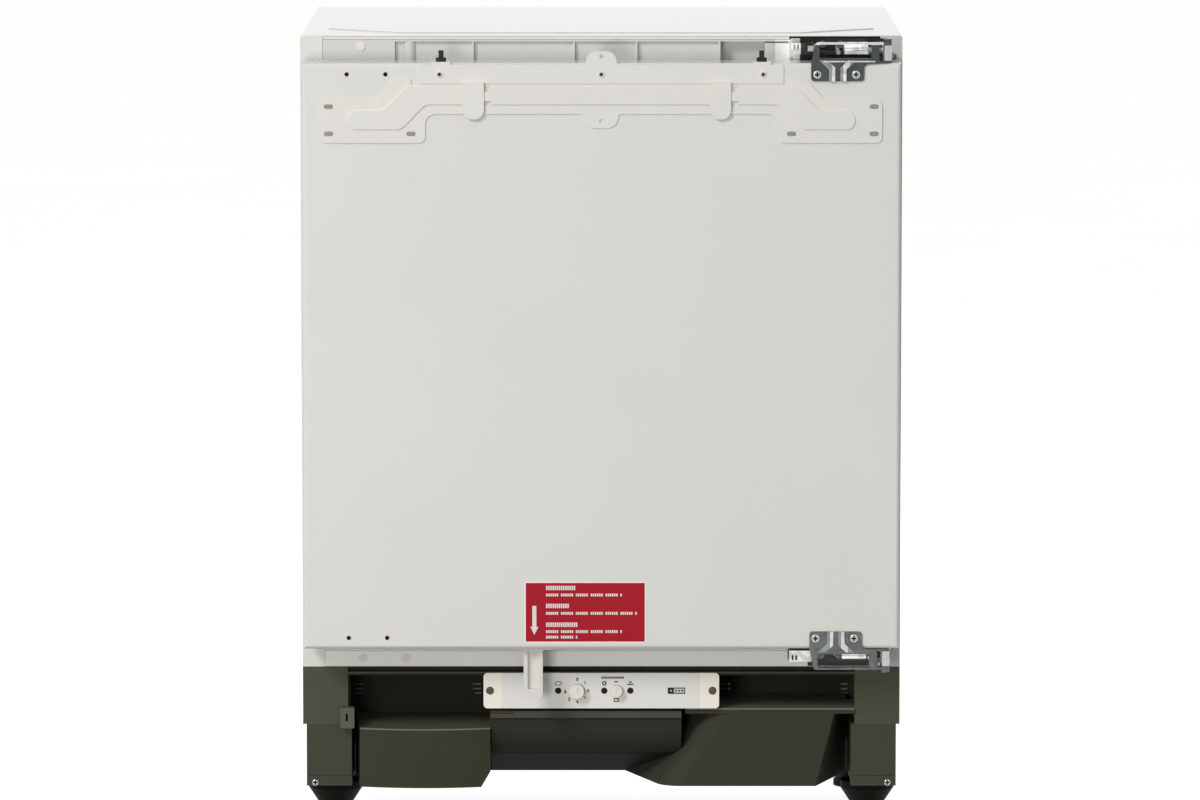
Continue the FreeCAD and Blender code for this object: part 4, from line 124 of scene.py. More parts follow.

# Screws whose cross recess is painted shade: the piece, its node, the heads' x and z in mm, and the
# body.
CROSS_SCREWS = (
    ("hinge_screw_recesses", "door_front_screws", (212.0, 250.0), (221.0, 780.0), "door"),
    ("leg_screw_recesses", "leg_screws", (-286.0, 286.0), (66.6,), "cabinet"))
CROSS_REACH, CROSS_HALF, CROSS_THICK = 2.5 * MM, 0.8 * MM, 0.1 * MM

# Grey plates in the carrier's slots, painted shade of the slot openings: width, height and corner
# radius, then inset from the carrier's ends and drop from the door's top.
SLOT_SHADE = 8.4 * MM, 4.0 * MM, 1.9 * MM
SLOT_SHADE_PROUD, SLOT_SHADE_THICK = 1.3 * MM, 0.8 * MM
SLOT_SHADE_PLACES = np.array([[8.0, 42.7], [8.0, 69.5], [89.0, 69.5]]) * MM

# Print on the control panel. A frame has an outer and an inner outline, each with its width, height
# and corner radius in mm.
LENS_FRAME = (6.4, 6.4, 3.19), (5.0, 5.0, 2.49)
OVAL_FRAME = (6.6, 4.2, 1.9), (5.2, 2.8, 1.2)
ROUND_FRAME = (4.6, 4.6, 2.29), (2.2, 2.2, 1.09)
BOX_FRAME = (5.2, 3.8, 0.6), (3.4, 2.0, 0.3)
MARK_ABOVE, MARK_BELOW = PANEL_MIDDLE + 7.4 * MM, PANEL_MIDDLE - 9.4 * MM
BAR_WIDTHS, BAR_HEIGHT = np.array([2.6, 6.0, 3.6]) * MM, 1.3 * MM
ROW_LEFT, ROW_RIGHT, ROW_RISE, ROW_HEIGHT = 0.8 * MM, 22 * MM, 13.2 * MM, 2.2 * MM
# Numbers round the thermostat knob: how many, the ring's radius, and its first angle and step.
NUMBERS, NUMBER_RING = 7, 11.4 * MM
FIRST_ANGLE, ANGLE_STEP = 87.0, 43.6
# The dark plate: its middle, and width, height and corner radius. Then the pale fields on it, each
# with its shift, width and height, and the dots on the wide one.
PLATE_X = 75.0 * MM
PLATE = 17.4 * MM, 6.4 * MM, 0.5 * MM
PALE_FIELDS = np.array([[2.6, 10.4, 4.4], [-5.4, 1.6, 1.6]]) * MM
DOTS, DOT = np.array([-0.6, 2.6, 5.8]) * MM, 1.6 * MM


def linear(code):
    """An sRGB hex colour as linear red, green, blue and alpha."""
    parts = [int(code[i:i + 2], 16) / 255 for i in (1, 3, 5)]
    return [p / 12.92 if p <= 0.04045 else ((p + 0.055) / 1.055) ** 2.4 for p in parts] + [1.0]


def tint(code, share):
    """The colour of a hex code made darker, below 1, or lighter, above 1."""
    return [min(1.0, c * share) for c in linear(code)[:3]] + [1.0]


def connect(tree, node, inputs):
    """Gives each named or numbered input of a node its value, or a link from another node."""
    for name, value in inputs.items():
        if isinstance(value, bpy.types.NodeSocket):
            tree.links.new(value, node.inputs[name])
        else:
            node.inputs[name].default_value = value


def add(tree, kind, inputs=None, **settings):
    """Adds one node with its settings and connects its inputs."""
    made = tree.nodes.new(kind)
    for name, value in settings.items():
        setattr(made, name, value)
    connect(tree, made, inputs or {})
    return made


def begin(name):
    """A new material with its shader and its Object coordinates."""
    material = bpy.data.materials.new(name)
    material.use_nodes = True
    tree = material.node_tree
    shader = tree.nodes["Principled BSDF"]
    place = add(tree, "ShaderNodeTexCoord").outputs["Object"]
    return material, tree, shader, place


def room(x=(-FAR, FAR), y=(-FAR, FAR), z=(-FAR, FAR)):
    """Two corners, in metres, of the space between limits in mm; an axis left out has none."""
    return [[side[k] * MM for side in (x, y, z)] for k in (0, 1)]


def within(tree, place, low, high):
    """1 where the Object coordinates lie in the space between two corners, else 0: there the point
    held between the corners is the point itself."""
    raised = add(tree, VECTOR_MATH, {0: place, 1: low}, operation="MAXIMUM")
    held = add(tree, VECTOR_MATH, {0: raised.outputs["Vector"], 1: high}, operation="MINIMUM")
    gap = add(tree, VECTOR_MATH, {0: place, 1: held.outputs["Vector"]}, operation="DISTANCE")
    inside = add(tree, MATH, {0: gap.outputs["Value"], 1: NEAR}, operation="LESS_THAN")
    return inside.outputs["Value"]


def banded(tree, place, tone, bands):
    """The tone with other colours laid over it, each a hex code and the corners of its space."""
    for code, (low, high) in bands:
        mask = within(tree, place, low, high)
        over = add(tree, MIX, {SHARE: mask, FIRST: tone, SECOND: linear(code)}, data_type="RGBA")
        tone = over.outputs[MIXED]
    return tone


def enamelled_steel(name, code, peel=2.6, drift=180.0, rough=0.13):
    """Steel sheet coated and baked before it is folded. The eye gets a faint orange peel, a few
    millimetres wide, and a slow drift of tone over the panel; peel and drift are in mm."""
    material, tree, shader, place = begin(name)
    slow = add(tree, NOISE, {"Vector": place, "Scale": 1 / (drift * MM), "Detail": 2.0})
    fine = add(tree, NOISE, {"Vector": place, "Scale": 1 / (peel * MM), "Detail": 3.0})
    tone = add(tree, MIX, {SHARE: slow.outputs["Fac"], FIRST: tint(code, 0.965),
                           SECOND: tint(code, 1.03)}, data_type="RGBA")
    speck = add(tree, RANGE, {"Value": fine.outputs["Fac"], "To Min": 0.985, "To Max": 1.015})
    coat = add(tree, MIX, {SHARE: 1.0, FIRST: tone.outputs[MIXED], SECOND: speck.outputs["Result"]},
               data_type="RGBA", blend_type="MULTIPLY")
    gloss = add(tree, RANGE, {"Value": fine.outputs["Fac"], "To Min": rough - 0.06,
                              "To Max": rough + 0.06})
    bump = add(tree, BUMP, {"Strength": 0.06, "Distance": 0.4 * MM, "Height": fine.outputs["Fac"]})
    connect(tree, shader, {"Base Color": coat.outputs[MIXED], "Roughness": gloss.outputs["Result"],
                           "Normal": bump.outputs["Normal"], "IOR": 1.5})
    return material


def moulded_plastic(name, code, grain=0.9, rough=0.5, drift=90.0, spread=0.07, relief=0.25,
                    sheen=0.5, bands=()):
    """Injection-moulded polymer. The eye gets the tool's eroded grain as a soft matt sparkle, and flow
    marks that shift the tone; grain is drawn a little coarser than the real 0.2 mm so that it shows.
    Bands are places with another colour, on the rails and the base some of them painted light and
    painted shade; sheen is the specular level."""
    material, tree, shader, place = begin(name)
    flow = add(tree, NOISE, {"Vector": place, "Scale": 1 / (drift * MM), "Detail": 3.0})
    skin = add(tree, NOISE, {"Vector": place, "Scale": 1 / (grain * MM), "Detail": 4.0})
    cloud = add(tree, RANGE, {"Value": flow.outputs["Fac"], "To Min": 1 - spread,
                              "To Max": 1 + spread})
    plain = banded(tree, place, linear(code), bands)
    tone = add(tree, MIX, {SHARE: 1.0, FIRST: plain, SECOND: cloud.outputs["Result"]},
               data_type="RGBA", blend_type="MULTIPLY")
    gloss = add(tree, RANGE, {"Value": skin.outputs["Fac"], "To Min": rough - 0.08,
                              "To Max": rough + 0.08})
    bump = add(tree, BUMP, {"Strength": relief, "Distance": 0.3 * MM, "Height": skin.outputs["Fac"]})
    connect(tree, shader, {"Base Color": tone.outputs[MIXED], "Roughness": gloss.outputs["Result"],
                           "Normal": bump.outputs["Normal"], "IOR": 1.49,
                           "Specular IOR Level": sheen})
    return material


def zinc_steel(name, code, spangle=6.0, rough=0.32, contrast=0.18, bands=()):
    """Zinc-coated steel, bare. The eye gets crystals of differing brightness, a few millimetres
    across, and fine rolling scratches, 12 mm long and 0.8 mm apart. Bands are places with another
    tone: on the hinges, painted highlights and painted reflections."""
    material, tree, shader, place = begin(name)
    crystal = add(tree, CELLS, {"Vector": place, "Scale": 1 / (spangle * MM)})
    along, across = 1 / (12 * MM), 1 / (0.8 * MM)
    brush = add(tree, "ShaderNodeMapping", {"Vector": place, "Scale": (along, across, across)})
    scratch = add(tree, NOISE, {"Vector": brush.outputs["Vector"], "Scale": 1.0, "Detail": 3.0})
    level = add(tree, "ShaderNodeSeparateColor", {"Color": crystal.outputs["Color"]})
    glint = add(tree, RANGE, {"Value": level.outputs[0], "To Min": 1 - contrast,
                              "To Max": 1 + contrast})
    plain = banded(tree, place, linear(code), bands)
    tone = add(tree, MIX, {SHARE: 1.0, FIRST: plain, SECOND: glint.outputs["Result"]},
               data_type="RGBA", blend_type="MULTIPLY")
    gloss = add(tree, RANGE, {"Value": scratch.outputs["Fac"], "To Min": rough - 0.1,
                              "To Max": rough + 0.12})
    bump = add(tree, BUMP, {"Strength": 0.1, "Distance": 0.2 * MM, "Height": scratch.outputs["Fac"]})
    connect(tree, shader, {"Base Color": tone.outputs[MIXED], "Roughness": gloss.outputs["Result"],
                           "Normal": bump.outputs["Normal"], "Metallic": 1.0})
    return material


def plated_metal(name, code, rough=0.22, patch=14.0, lacquer=None):
    """Turned or drawn metal with a bright skin, such as zinc plate or copper. The eye gets sharp
    reflections with slight cloudy patches of handling, in mm. Lacquer, a hex code and two corners,
    paints the pieces there."""
    material, tree, shader, place = begin(name)
    cloud = add(tree, NOISE, {"Vector": place, "Scale": 1 / (patch * MM), "Detail": 4.0})
    tone = add(tree, MIX, {SHARE: cloud.outputs["Fac"], FIRST: tint(code, 0.82),
                           SECOND: tint(code, 1.1)}, data_type="RGBA")
    gloss = add(tree, RANGE, {"Value": cloud.outputs["Fac"], "To Min": rough + 0.1,
                              "To Max": rough - 0.08})
    connect(tree, shader, {"Base Color": tone.outputs[MIXED], "Roughness": gloss.outputs["Result"],
                           "Metallic": 1.0})
    if lacquer:
        bare = add(tree, MATH, {0: 1.0, 1: within(tree, place, *lacquer[1])}, operation="SUBTRACT")
        connect(tree, shader, {"Base Color": banded(tree, place, tone.outputs[MIXED], [lacquer]),
                               "Metallic": bare.outputs["Value"]})
    return material


def soft_rubber(name, code, rough=0.72):
    """Extruded or moulded rubber. The eye gets a dull skin with pores and a dusty bloom."""
    material, tree, shader, place = begin(name)
    bloom = add(tree, NOISE, {"Vector": place, "Scale": 1 / (22 * MM), "Detail": 5.0})
    pores = add(tree, NOISE, {"Vector": place, "Scale": 1 / (0.7 * MM), "Detail": 2.0})
    tone = add(tree, MIX, {SHARE: bloom.outputs["Fac"], FIRST: tint(code, 0.9),
                           SECOND: tint(code, 1.12)}, data_type="RGBA")
    gloss = add(tree, RANGE, {"Value": bloom.outputs["Fac"], "To Min": rough - 0.08,
                              "To Max": rough + 0.1})
    bump = add(tree, BUMP, {"Strength": 0.2, "Distance": 0.2 * MM, "Height": pores.outputs["Fac"]})
    connect(tree, shader, {"Base Color": tone.outputs[MIXED], "Roughness": gloss.outputs["Result"],
                           "Normal": bump.outputs["Normal"]})
    return material


def cell_foam(name, code):
    """Rigid polyurethane foam. The eye gets closed cells about a millimetre wide and a tan, chalky
    skin."""
    material, tree, shader, place = begin(name)
    cells = add(tree, CELLS, {"Vector": place, "Scale": 1 / (1.4 * MM)})
    tone = add(tree, MIX, {SHARE: cells.outputs["Distance"], FIRST: tint(code, 1.05),
                           SECOND: tint(code, 0.8)}, data_type="RGBA")
    bump = add(tree, BUMP, {"Strength": 0.4, "Distance": 0.6 * MM,
                            "Height": cells.outputs["Distance"]})
    connect(tree, shader, {"Base Color": tone.outputs[MIXED], "Normal": bump.outputs["Normal"],
                           "Roughness": 0.9})
    return material


def printed_film(name, code, rough=0.5, sheen=0.2):
    """Ink on a polymer film. The eye gets an even colour with the press's faint screen and a satin
    coat; sheen is the specular level."""
    material, tree, shader, place = begin(name)
    screen = add(tree, NOISE, {"Vector": place, "Scale": 1 / (0.6 * MM), "Detail": 2.0})
    slow = add(tree, NOISE, {"Vector": place, "Scale": 1 / (40 * MM), "Detail": 2.0})
    both = add(tree, MATH, {0: screen.outputs["Fac"], 1: slow.outputs["Fac"]}, operation="MULTIPLY")
    tone = add(tree, MIX, {SHARE: both.outputs["Value"], FIRST: tint(code, 0.94),
                           SECOND: tint(code, 1.1)}, data_type="RGBA")
    gloss = add(tree, RANGE, {"Value": slow.outputs["Fac"], "To Min": rough - 0.07,
                              "To Max": rough + 0.07})
    connect(tree, shader, {"Base Color": tone.outputs[MIXED], "Roughness": gloss.outputs["Result"],
                           "Specular IOR Level": sheen})
    return material


def clear_polystyrene(name, code, haze=0.25):
    """Drawers of transparent polystyrene with a cold tint. The eye sees through them, dimly, with flow
    lines."""
    material, tree, shader, place = begin(name)
    flow = add(tree, NOISE, {"Vector": place, "Scale": 1 / (60 * MM), "Detail": 3.0})
    tone = add(tree, MIX, {SHARE: flow.outputs["Fac"], FIRST: tint(code, 0.93),
                           SECOND: tint(code, 1.05)}, data_type="RGBA")
    gloss = add(tree, RANGE, {"Value": flow.outputs["Fac"], "To Min": haze - 0.08,
                              "To Max": haze + 0.08})
    connect(tree, shader, {"Base Color": tone.outputs[MIXED], "Roughness": gloss.outputs["Result"],
                           "Transmission Weight": 0.45, "IOR": 1.59})
    return material


def outline_plate(outline, front, thick):
    """A flat plate: the outline, an array of x and z, is carried straight back from y = front by
    thick. Vertex (i, k) = outline[i] at depth front + k * thick; the outline runs anticlockwise from
    the front."""
    count = len(outline)
    depth = np.repeat([front, front + thick], count)
    points = np.column_stack([np.tile(outline[:, 0], 2), depth, np.tile(outline[:, 1], 2)])
    i = np.arange(count)
    j = (i + 1) % count
    sides = np.column_stack([i, i + count, j + count, j])
    faces = [list(range(count)), list(range(2 * count - 1, count - 1, -1))] + sides.tolist()
    return points, faces


def round_rectangle(x, z, width, height, radius, steps=7):
    """Outline of a rectangle with quarter-circle corners: centre of each corner plus radius times
    (cos, sin)."""
    angle = np.linspace(0, math.pi / 2, steps)
    turns = np.concatenate([angle + k * math.pi / 2 for k in range(4)])
    side = np.repeat([1, -1, -1, 1], steps)
    rise = np.repeat([1, 1, -1, -1], steps)
    return np.column_stack([x + side * (width / 2 - radius) + radius * np.cos(turns),
                            z + rise * (height / 2 - radius) + radius * np.sin(turns)])


def cross(x, z, reach, half):
    """Outline of an upright cross about (x, z), anticlockwise: one arm out to reach and 2 half wide,
    turned by each quarter."""
    arm = np.array([[reach, -half], [reach, half], [half, half]])
    turn = np.array([[0, 1], [-1, 0]])
    return np.vstack([arm @ np.linalg.matrix_power(turn, k) for k in range(4)]) + [x, z]


def tiles(x, z, width, height, front, thick):
    """Many flat boxes at once: corner k of tile i = (x, z) of i plus half its size times the signs of
    k, at y = front for the first four corners and front + thick for the others. All tiles share z and
    width where these are one number."""
    side = np.array([-1, 1, 1, -1, -1, 1, 1, -1]) / 2
    rise = np.array([-1, -1, 1, 1, -1, -1, 1, 1]) / 2
    deep = np.repeat([front, front + thick], 4)
    x, z, width = np.broadcast_arrays(np.atleast_1d(x), z, width)
    across = x[:, None] + width[:, None] * side
    upward = z[:, None] + height * rise
    corners = np.stack([across, np.broadcast_to(deep, across.shape), upward], axis=-1)
    six = np.array([[0, 1, 2, 3], [4, 7, 6, 5], [0, 4, 5, 1], [1, 5, 6, 2], [2, 6, 7, 3],
                    [3, 7, 4, 0]])
    faces = six[None] + 8 * np.arange(len(x))[:, None, None]
    return corners.reshape(-1, 3), faces.reshape(-1, 4).tolist()


def rim(x, z, outer, inner, front, thick):
    """A flat closed frame about (x, z) between two round rectangles, each given by its width, height
    and corner radius in mm: the four loops outer front, inner front, inner back and outer back are
    joined each to the next, and the last to the first."""
    outside, inside = [round_rectangle(x, z, *np.multiply(size, MM)) for size in (outer, inner)]
    count = len(outside)
    flat = np.concatenate([outside, inside, inside, outside])
    deep = np.repeat([front, front, front + thick, front + thick], count)
    points = np.column_stack([flat[:, 0], deep, flat[:, 1]])
    loop, i = np.meshgrid(np.arange(4), np.arange(count), indexing="ij")
    j, after = (i + 1) % count, (loop + 1) % 4
    faces = np.stack([loop * count + i, loop * count + j, after * count + j, after * count + i],
                     axis=-1)
    return points, faces.reshape(-1, 4).tolist()


def dish(x, front, z, radius, depth, rings=5, steps=24):
    """A round disc with a hollow face: at radius r the face lies depth * (1 - (r / radius) ** 2)
    behind front, and a flat back closes it, all turned about the y axis through (x, z)."""
    spread = np.linspace(0, 1, rings)[1:] * radius
    angle = np.arange(steps) * 2 * math.pi / steps
    r, turn = np.meshgrid(spread, angle, indexing="ij")
    face = front + depth * (1 - (r / radius) ** 2)
    grid = np.stack([x + r * np.cos(turn), face, z + r * np.sin(turn)], axis=-1).reshape(-1, 3)
    back = np.column_stack([x + radius * np.cos(angle), np.full(steps, front + 2 * depth),
                            z + radius * np.sin(angle)])
    points = np.concatenate([[[x, front + depth, z]], grid, back])
    i = np.arange(steps)
    j = (i + 1) % steps
    faces = np.column_stack([np.zeros(steps, int), 1 + i, 1 + j]).tolist()
    for k in range(rings - 1):
        a, b = 1 + k * steps, 1 + (k + 1) * steps
        faces += np.column_stack([a + i, b + i, b + j, a + j]).tolist()
    faces.append((1 + (rings - 1) * steps + i[::-1]).tolist())
    return points, faces


def numeral(text, height, x, front, z):
    """One printed figure as points and faces: the built-in font's flat outline, a little bolder,
    turned upright to face -Y."""
    curve = bpy.data.curves.new("figure", "FONT")
    curve.body = text
    curve.size = height
    curve.align_x = "CENTER"
    curve.align_y = "CENTER"
    curve.offset = 0.05 * height
    made = bpy.data.objects.new("figure", curve)
    bpy.context.scene.collection.objects.link(made)
    graph = bpy.context.evaluated_depsgraph_get()
    mesh = bpy.data.meshes.new_from_object(made.evaluated_get(graph))
    mesh.transform(Matrix.Translation((x, front, z)) @ Matrix.Rotation(math.pi / 2, 4, "X"))
    points = np.array([v.co for v in mesh.vertices])
    faces = [list(p.vertices) for p in mesh.polygons]
    bpy.data.objects.remove(made)
    return points, faces


def joined(parts):
    """Several pairs of points and faces as one, with the face numbers moved on."""
    points, faces, start = [], [], 0
    for some, polygons in parts:
        points.append(np.asarray(some, float))
        faces += [[start + k for k in polygon] for polygon in polygons]
        start += len(some)
    return np.concatenate(points), faces


def piece(name, parts, material, body):
    """A new mesh object at the origin, joined from its parts, that rides on a body and names its
    slot."""
    points, faces = joined(parts)
    mesh = bpy.data.meshes.new(name)
    mesh.from_pydata(points.tolist(), [], faces)
    mesh.update()
    made = bpy.data.objects.new(name, mesh)
    bpy.context.scene.collection.objects.link(made)
    made.data.materials.append(material)
    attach(made, body)


def paint(material, *names):
    """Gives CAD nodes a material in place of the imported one."""
    for name in names:
        slots = NODES[name].data.materials
        slots.clear()
        slots.append(material)


class FreezerLooks(bpy.types.PropertyGroup):
    """Colours and print sizes that a user would change."""
    enamel: bpy.props.StringProperty(
        name="Enamel", description="sRGB colour of the door and cabinet", default="#DEDDD7")
    white_plastic: bpy.props.StringProperty(
        name="White plastic", description="sRGB colour of the caps and the alarm arm",
        default="#DEDCD5")
    rail: bpy.props.StringProperty(
        name="Rails", description="sRGB colour of the cabinet's front rails", default="#CFCEC9")
    base: bpy.props.StringProperty(
        name="Base", description="sRGB colour of the moulded base", default="#4D4C40")
    base_low: bpy.props.StringProperty(
        name="Leg posts", description="sRGB colour of the legs' lower posts", default="#424137")
    duct: bpy.props.StringProperty(
        name="Air ducts", description="sRGB colour of the scoop and chute", default="#403F35")
    sticker: bpy.props.StringProperty(
        name="Sticker", description="sRGB colour of the door's sticker", default="#A91C2B")
    sticker_width: bpy.props.FloatProperty(
        name="Sticker width", description="Width of the sticker", default=120.4 * MM,
        unit="LENGTH")
    sticker_height: bpy.props.FloatProperty(
        name="Sticker height", description="Height of the sticker", default=61.2 * MM,
        unit="LENGTH")
    figure_height: bpy.props.FloatProperty(
        name="Figure height", description="Height of the dial's numbers", default=4.4 * MM,
        unit="LENGTH")


class FreezerStage(bpy.types.PropertyGroup):
    """Camera and light."""
    distance: bpy.props.FloatProperty(
        name="Distance", description="Camera to the cabinet's front", default=7.5, unit="LENGTH")
    height: bpy.props.FloatProperty(
        name="Height", description="Camera above the floor", default=1.311, unit="LENGTH")
    aim: bpy.props.FloatProperty(
        name="Aim", description="Height that the camera looks at", default=0.4513, unit="LENGTH")
    side: bpy.props.FloatProperty(
        name="Side", description="Camera's shift to the side", default=-0.0013, unit="LENGTH")
    lens: bpy.props.FloatProperty(
        name="Lens", description="Focal length in mm", default=227.7, unit="CAMERA")
    key: bpy.props.FloatProperty(
        name="Key", description="Power of the upper left lamp", default=98.0, unit="POWER")
    fill: bpy.props.FloatProperty(
        name="Fill", description="Power of the low front lamp", default=66.0, unit="POWER")
    back: bpy.props.FloatProperty(
        name="Back", description="Power of the lamp behind", default=80.0, unit="POWER")
    ambient: bpy.props.FloatProperty(
        name="Ambient", description="Strength of the light from all round", default=0.4)


class FREEZER_OT_stage(bpy.types.Operator):
    """Floor, world, lamps and camera"""
    bl_idname = "freezer.stage"
    bl_label = "Stage"

    def execute(self, context):
        look = context.scene.freezer_stage
        self.floor(context)
        self.world(context, look.ambient)
        self.lamp(context, "key_lamp", *KEY_LAMP, look.key, True)
        self.lamp(context, "fill_lamp", *FILL_LAMP, look.fill, False)
        self.lamp(context, "back_lamp", *BACK_LAMP, look.back, False)
        self.camera(context, look)
        context.scene.view_settings.view_transform = "Standard"
        return {"FINISHED"}

    def floor(self, context):
        """A flat square grid: corner (i, k) = the i-th x and the k-th y at the object's foot."""
        line = np.linspace(-FLOOR_REACH, FLOOR_REACH, FLOOR_CELLS + 1)
        x, y = np.meshgrid(line, line)
        points = np.column_stack([x.ravel(), y.ravel(), np.full(x.size, CAD_BOX[0][2])])
        cell = np.arange(FLOOR_CELLS ** 2)
        near = cell + cell // FLOOR_CELLS
        away = near + FLOOR_CELLS + 1
        mesh = bpy.data.meshes.new("floor")
        mesh.from_pydata(points.tolist(), [],
                         np.column_stack([near, near + 1, away + 1, away]).tolist())
        floor = bpy.data.objects.new("floor", mesh)
        context.scene.collection.objects.link(floor)
        floor.data.materials.append(self.floor_material())

    def eye(self, tree):
        """1 for rays from the camera, from reflections and through glass, else 0."""
        path = add(tree, "ShaderNodeLightPath")
        seen = add(tree, MATH, {0: path.outputs["Is Camera Ray"], 1: path.outputs["Is Glossy Ray"]},
                   operation="MAXIMUM")
        also = add(tree, MATH, {0: seen.outputs["Value"], 1: path.outputs["Is Transmission Ray"]},
                   operation="MAXIMUM")
        return also.outputs["Value"]

    def floor_material(self):
        """Studio floor that throws back little light and takes the shadow, and shows near white to
        the camera."""
        material, tree, shader, place = begin("studio_floor")
        tree.nodes.remove(shader)
        glow = add(tree, MATH, {0: self.eye(tree), 1: FLOOR_GLOW}, operation="MULTIPLY")
        mottle = add(tree, NOISE, {"Vector": place, "Scale": 2.0, "Detail": 2.0})
        pale = add(tree, MIX, {SHARE: mottle.outputs["Fac"], FIRST: linear("#8A8A88"),
                               SECOND: linear("#929290")}, data_type="RGBA")
        scatter = add(tree, "ShaderNodeBsdfDiffuse", {"Color": pale.outputs[MIXED]})
        shine = add(tree, "ShaderNodeEmission", {"Strength": glow.outputs["Value"]})
        both = add(tree, "ShaderNodeAddShader", {0: scatter.outputs["BSDF"],
                                                 1: shine.outputs["Emission"]})
        connect(tree, tree.nodes["Material Output"], {"Surface": both.outputs["Shader"]})
        return material

    def world(self, context, ambient):
        """White to the camera and in reflections, a plain grey level as light on matt surfaces."""
        world = bpy.data.worlds.new("studio")
        world.use_nodes = True
        tree = world.node_tree
        level = add(tree, RANGE, {"Value": self.eye(tree), "To Min": ambient, "To Max": 1.0})
        connect(tree, tree.nodes["Background"], {"Color": linear("#FFFFFF"),
                                                 "Strength": level.outputs["Result"]})
        context.scene.world = world

    def lamp(self, context, name, place, side, power, mirrored):
        """A square soft lamp that looks at the object, and shows in reflections where mirrored."""
        data = bpy.data.lights.new(name, "AREA")
        data.size = side
        data.energy = power
        made = bpy.data.objects.new(name, data)
        made.location = place
        made.visible_glossy = mirrored
        aim = Vector(LAMP_AIM) - made.location
        made.rotation_euler = aim.to_track_quat("-Z", "Y").to_euler()
        context.scene.collection.objects.link(made)

    def camera(self, context, look):
        """The camera, in front of the cabinet, higher than its top and looking down at it."""
        data = bpy.data.cameras.new("photo_camera")
        data.lens = look.lens
        data.sensor_width = SENSOR_WIDTH
        data.clip_end = CAMERA_REACH
        camera = bpy.data.objects.new("photo_camera", data)
        camera.location = (look.side, CABINET_FRONT - look.distance, look.height)
        aim = Vector((look.side, CABINET_FRONT, look.aim)) - camera.location
        camera.rotation_euler = aim.to_track_quat("-Z", "Y").to_euler()
        context.scene.collection.objects.link(camera)
        context.scene.camera = camera


class FREEZER_OT_white_shell(bpy.types.Operator):
    """Enamel, white plastic and liner on the cabinet and the door"""
    bl_idname = "freezer.white_shell"
    bl_label = "White shell"

    def execute(self, context):
        look = context.scene.freezer_looks
        paint(enamelled_steel("baked_enamel_steel", look.enamel),
              "cabinet_wrap", "door_skin", "back_panel", "cabinet_bottom")
        paint(enamelled_steel("powder_coated_steel", "#E0DED8", peel=1.6, drift=70.0, rough=0.42),
              "decor_rail", "decor_carrier")
        paint(moulded_plastic("white_abs", look.white_plastic, spread=0.03, relief=0.12, rough=0.42),
              "screw_caps", "alarm_magnet_arm")
        # The bottom rail is painted lighter than the top one: painted light against the door's shadow
        # on it.
        low_rail_painted_light = "#F0EFE8", room(z=LOWER_HALF)
        # A dark patch on the bottom rail behind the lower hinge: painted shade.
        painted_shade_behind_hinge = "#1E1E1B", room(x=(206, 276), z=(0, 190.5))
        pale_end = "#F3F2ED", room(x=(172, FAR), z=UPPER_HALF)
        paint(moulded_plastic("rail_abs", look.rail, spread=0.03, relief=0.12, rough=0.45,
                              bands=[low_rail_painted_light, painted_shade_behind_hinge, pale_end]), "top_rail", "bottom_rail")
        ends = [("#FAF4E7", room(x=(-FAR, -99.2))), ("#FAF4E7", room(x=(98.4, FAR)))]
        paint(moulded_plastic("fascia_abs", "#E9E8E3", spread=0.02, relief=0.08, rough=0.4,
                              bands=ends), "control_fascia")
        paint(moulded_plastic("knob_abs", "#E9E6DB", spread=0.02, relief=0.1, rough=0.35),
              "thermostat_knob", "selector_knob")
        paint(moulded_plastic("liner_polystyrene", "#E6E7E6", spread=0.02, relief=0.06, rough=0.25),
              "inner_liner", "door_liner", "control_housing")
        paint(soft_rubber("gasket_vinyl", "#C9C8C2"), "door_gasket")
        # Tan foam, painted darker than real foam so that the bores where it shows through the door
        # skin look dark: painted shade.
        paint(cell_foam("polyurethane_foam", "#8A7B55"), "insulation_foam", "door_foam")
        return {"FINISHED"}


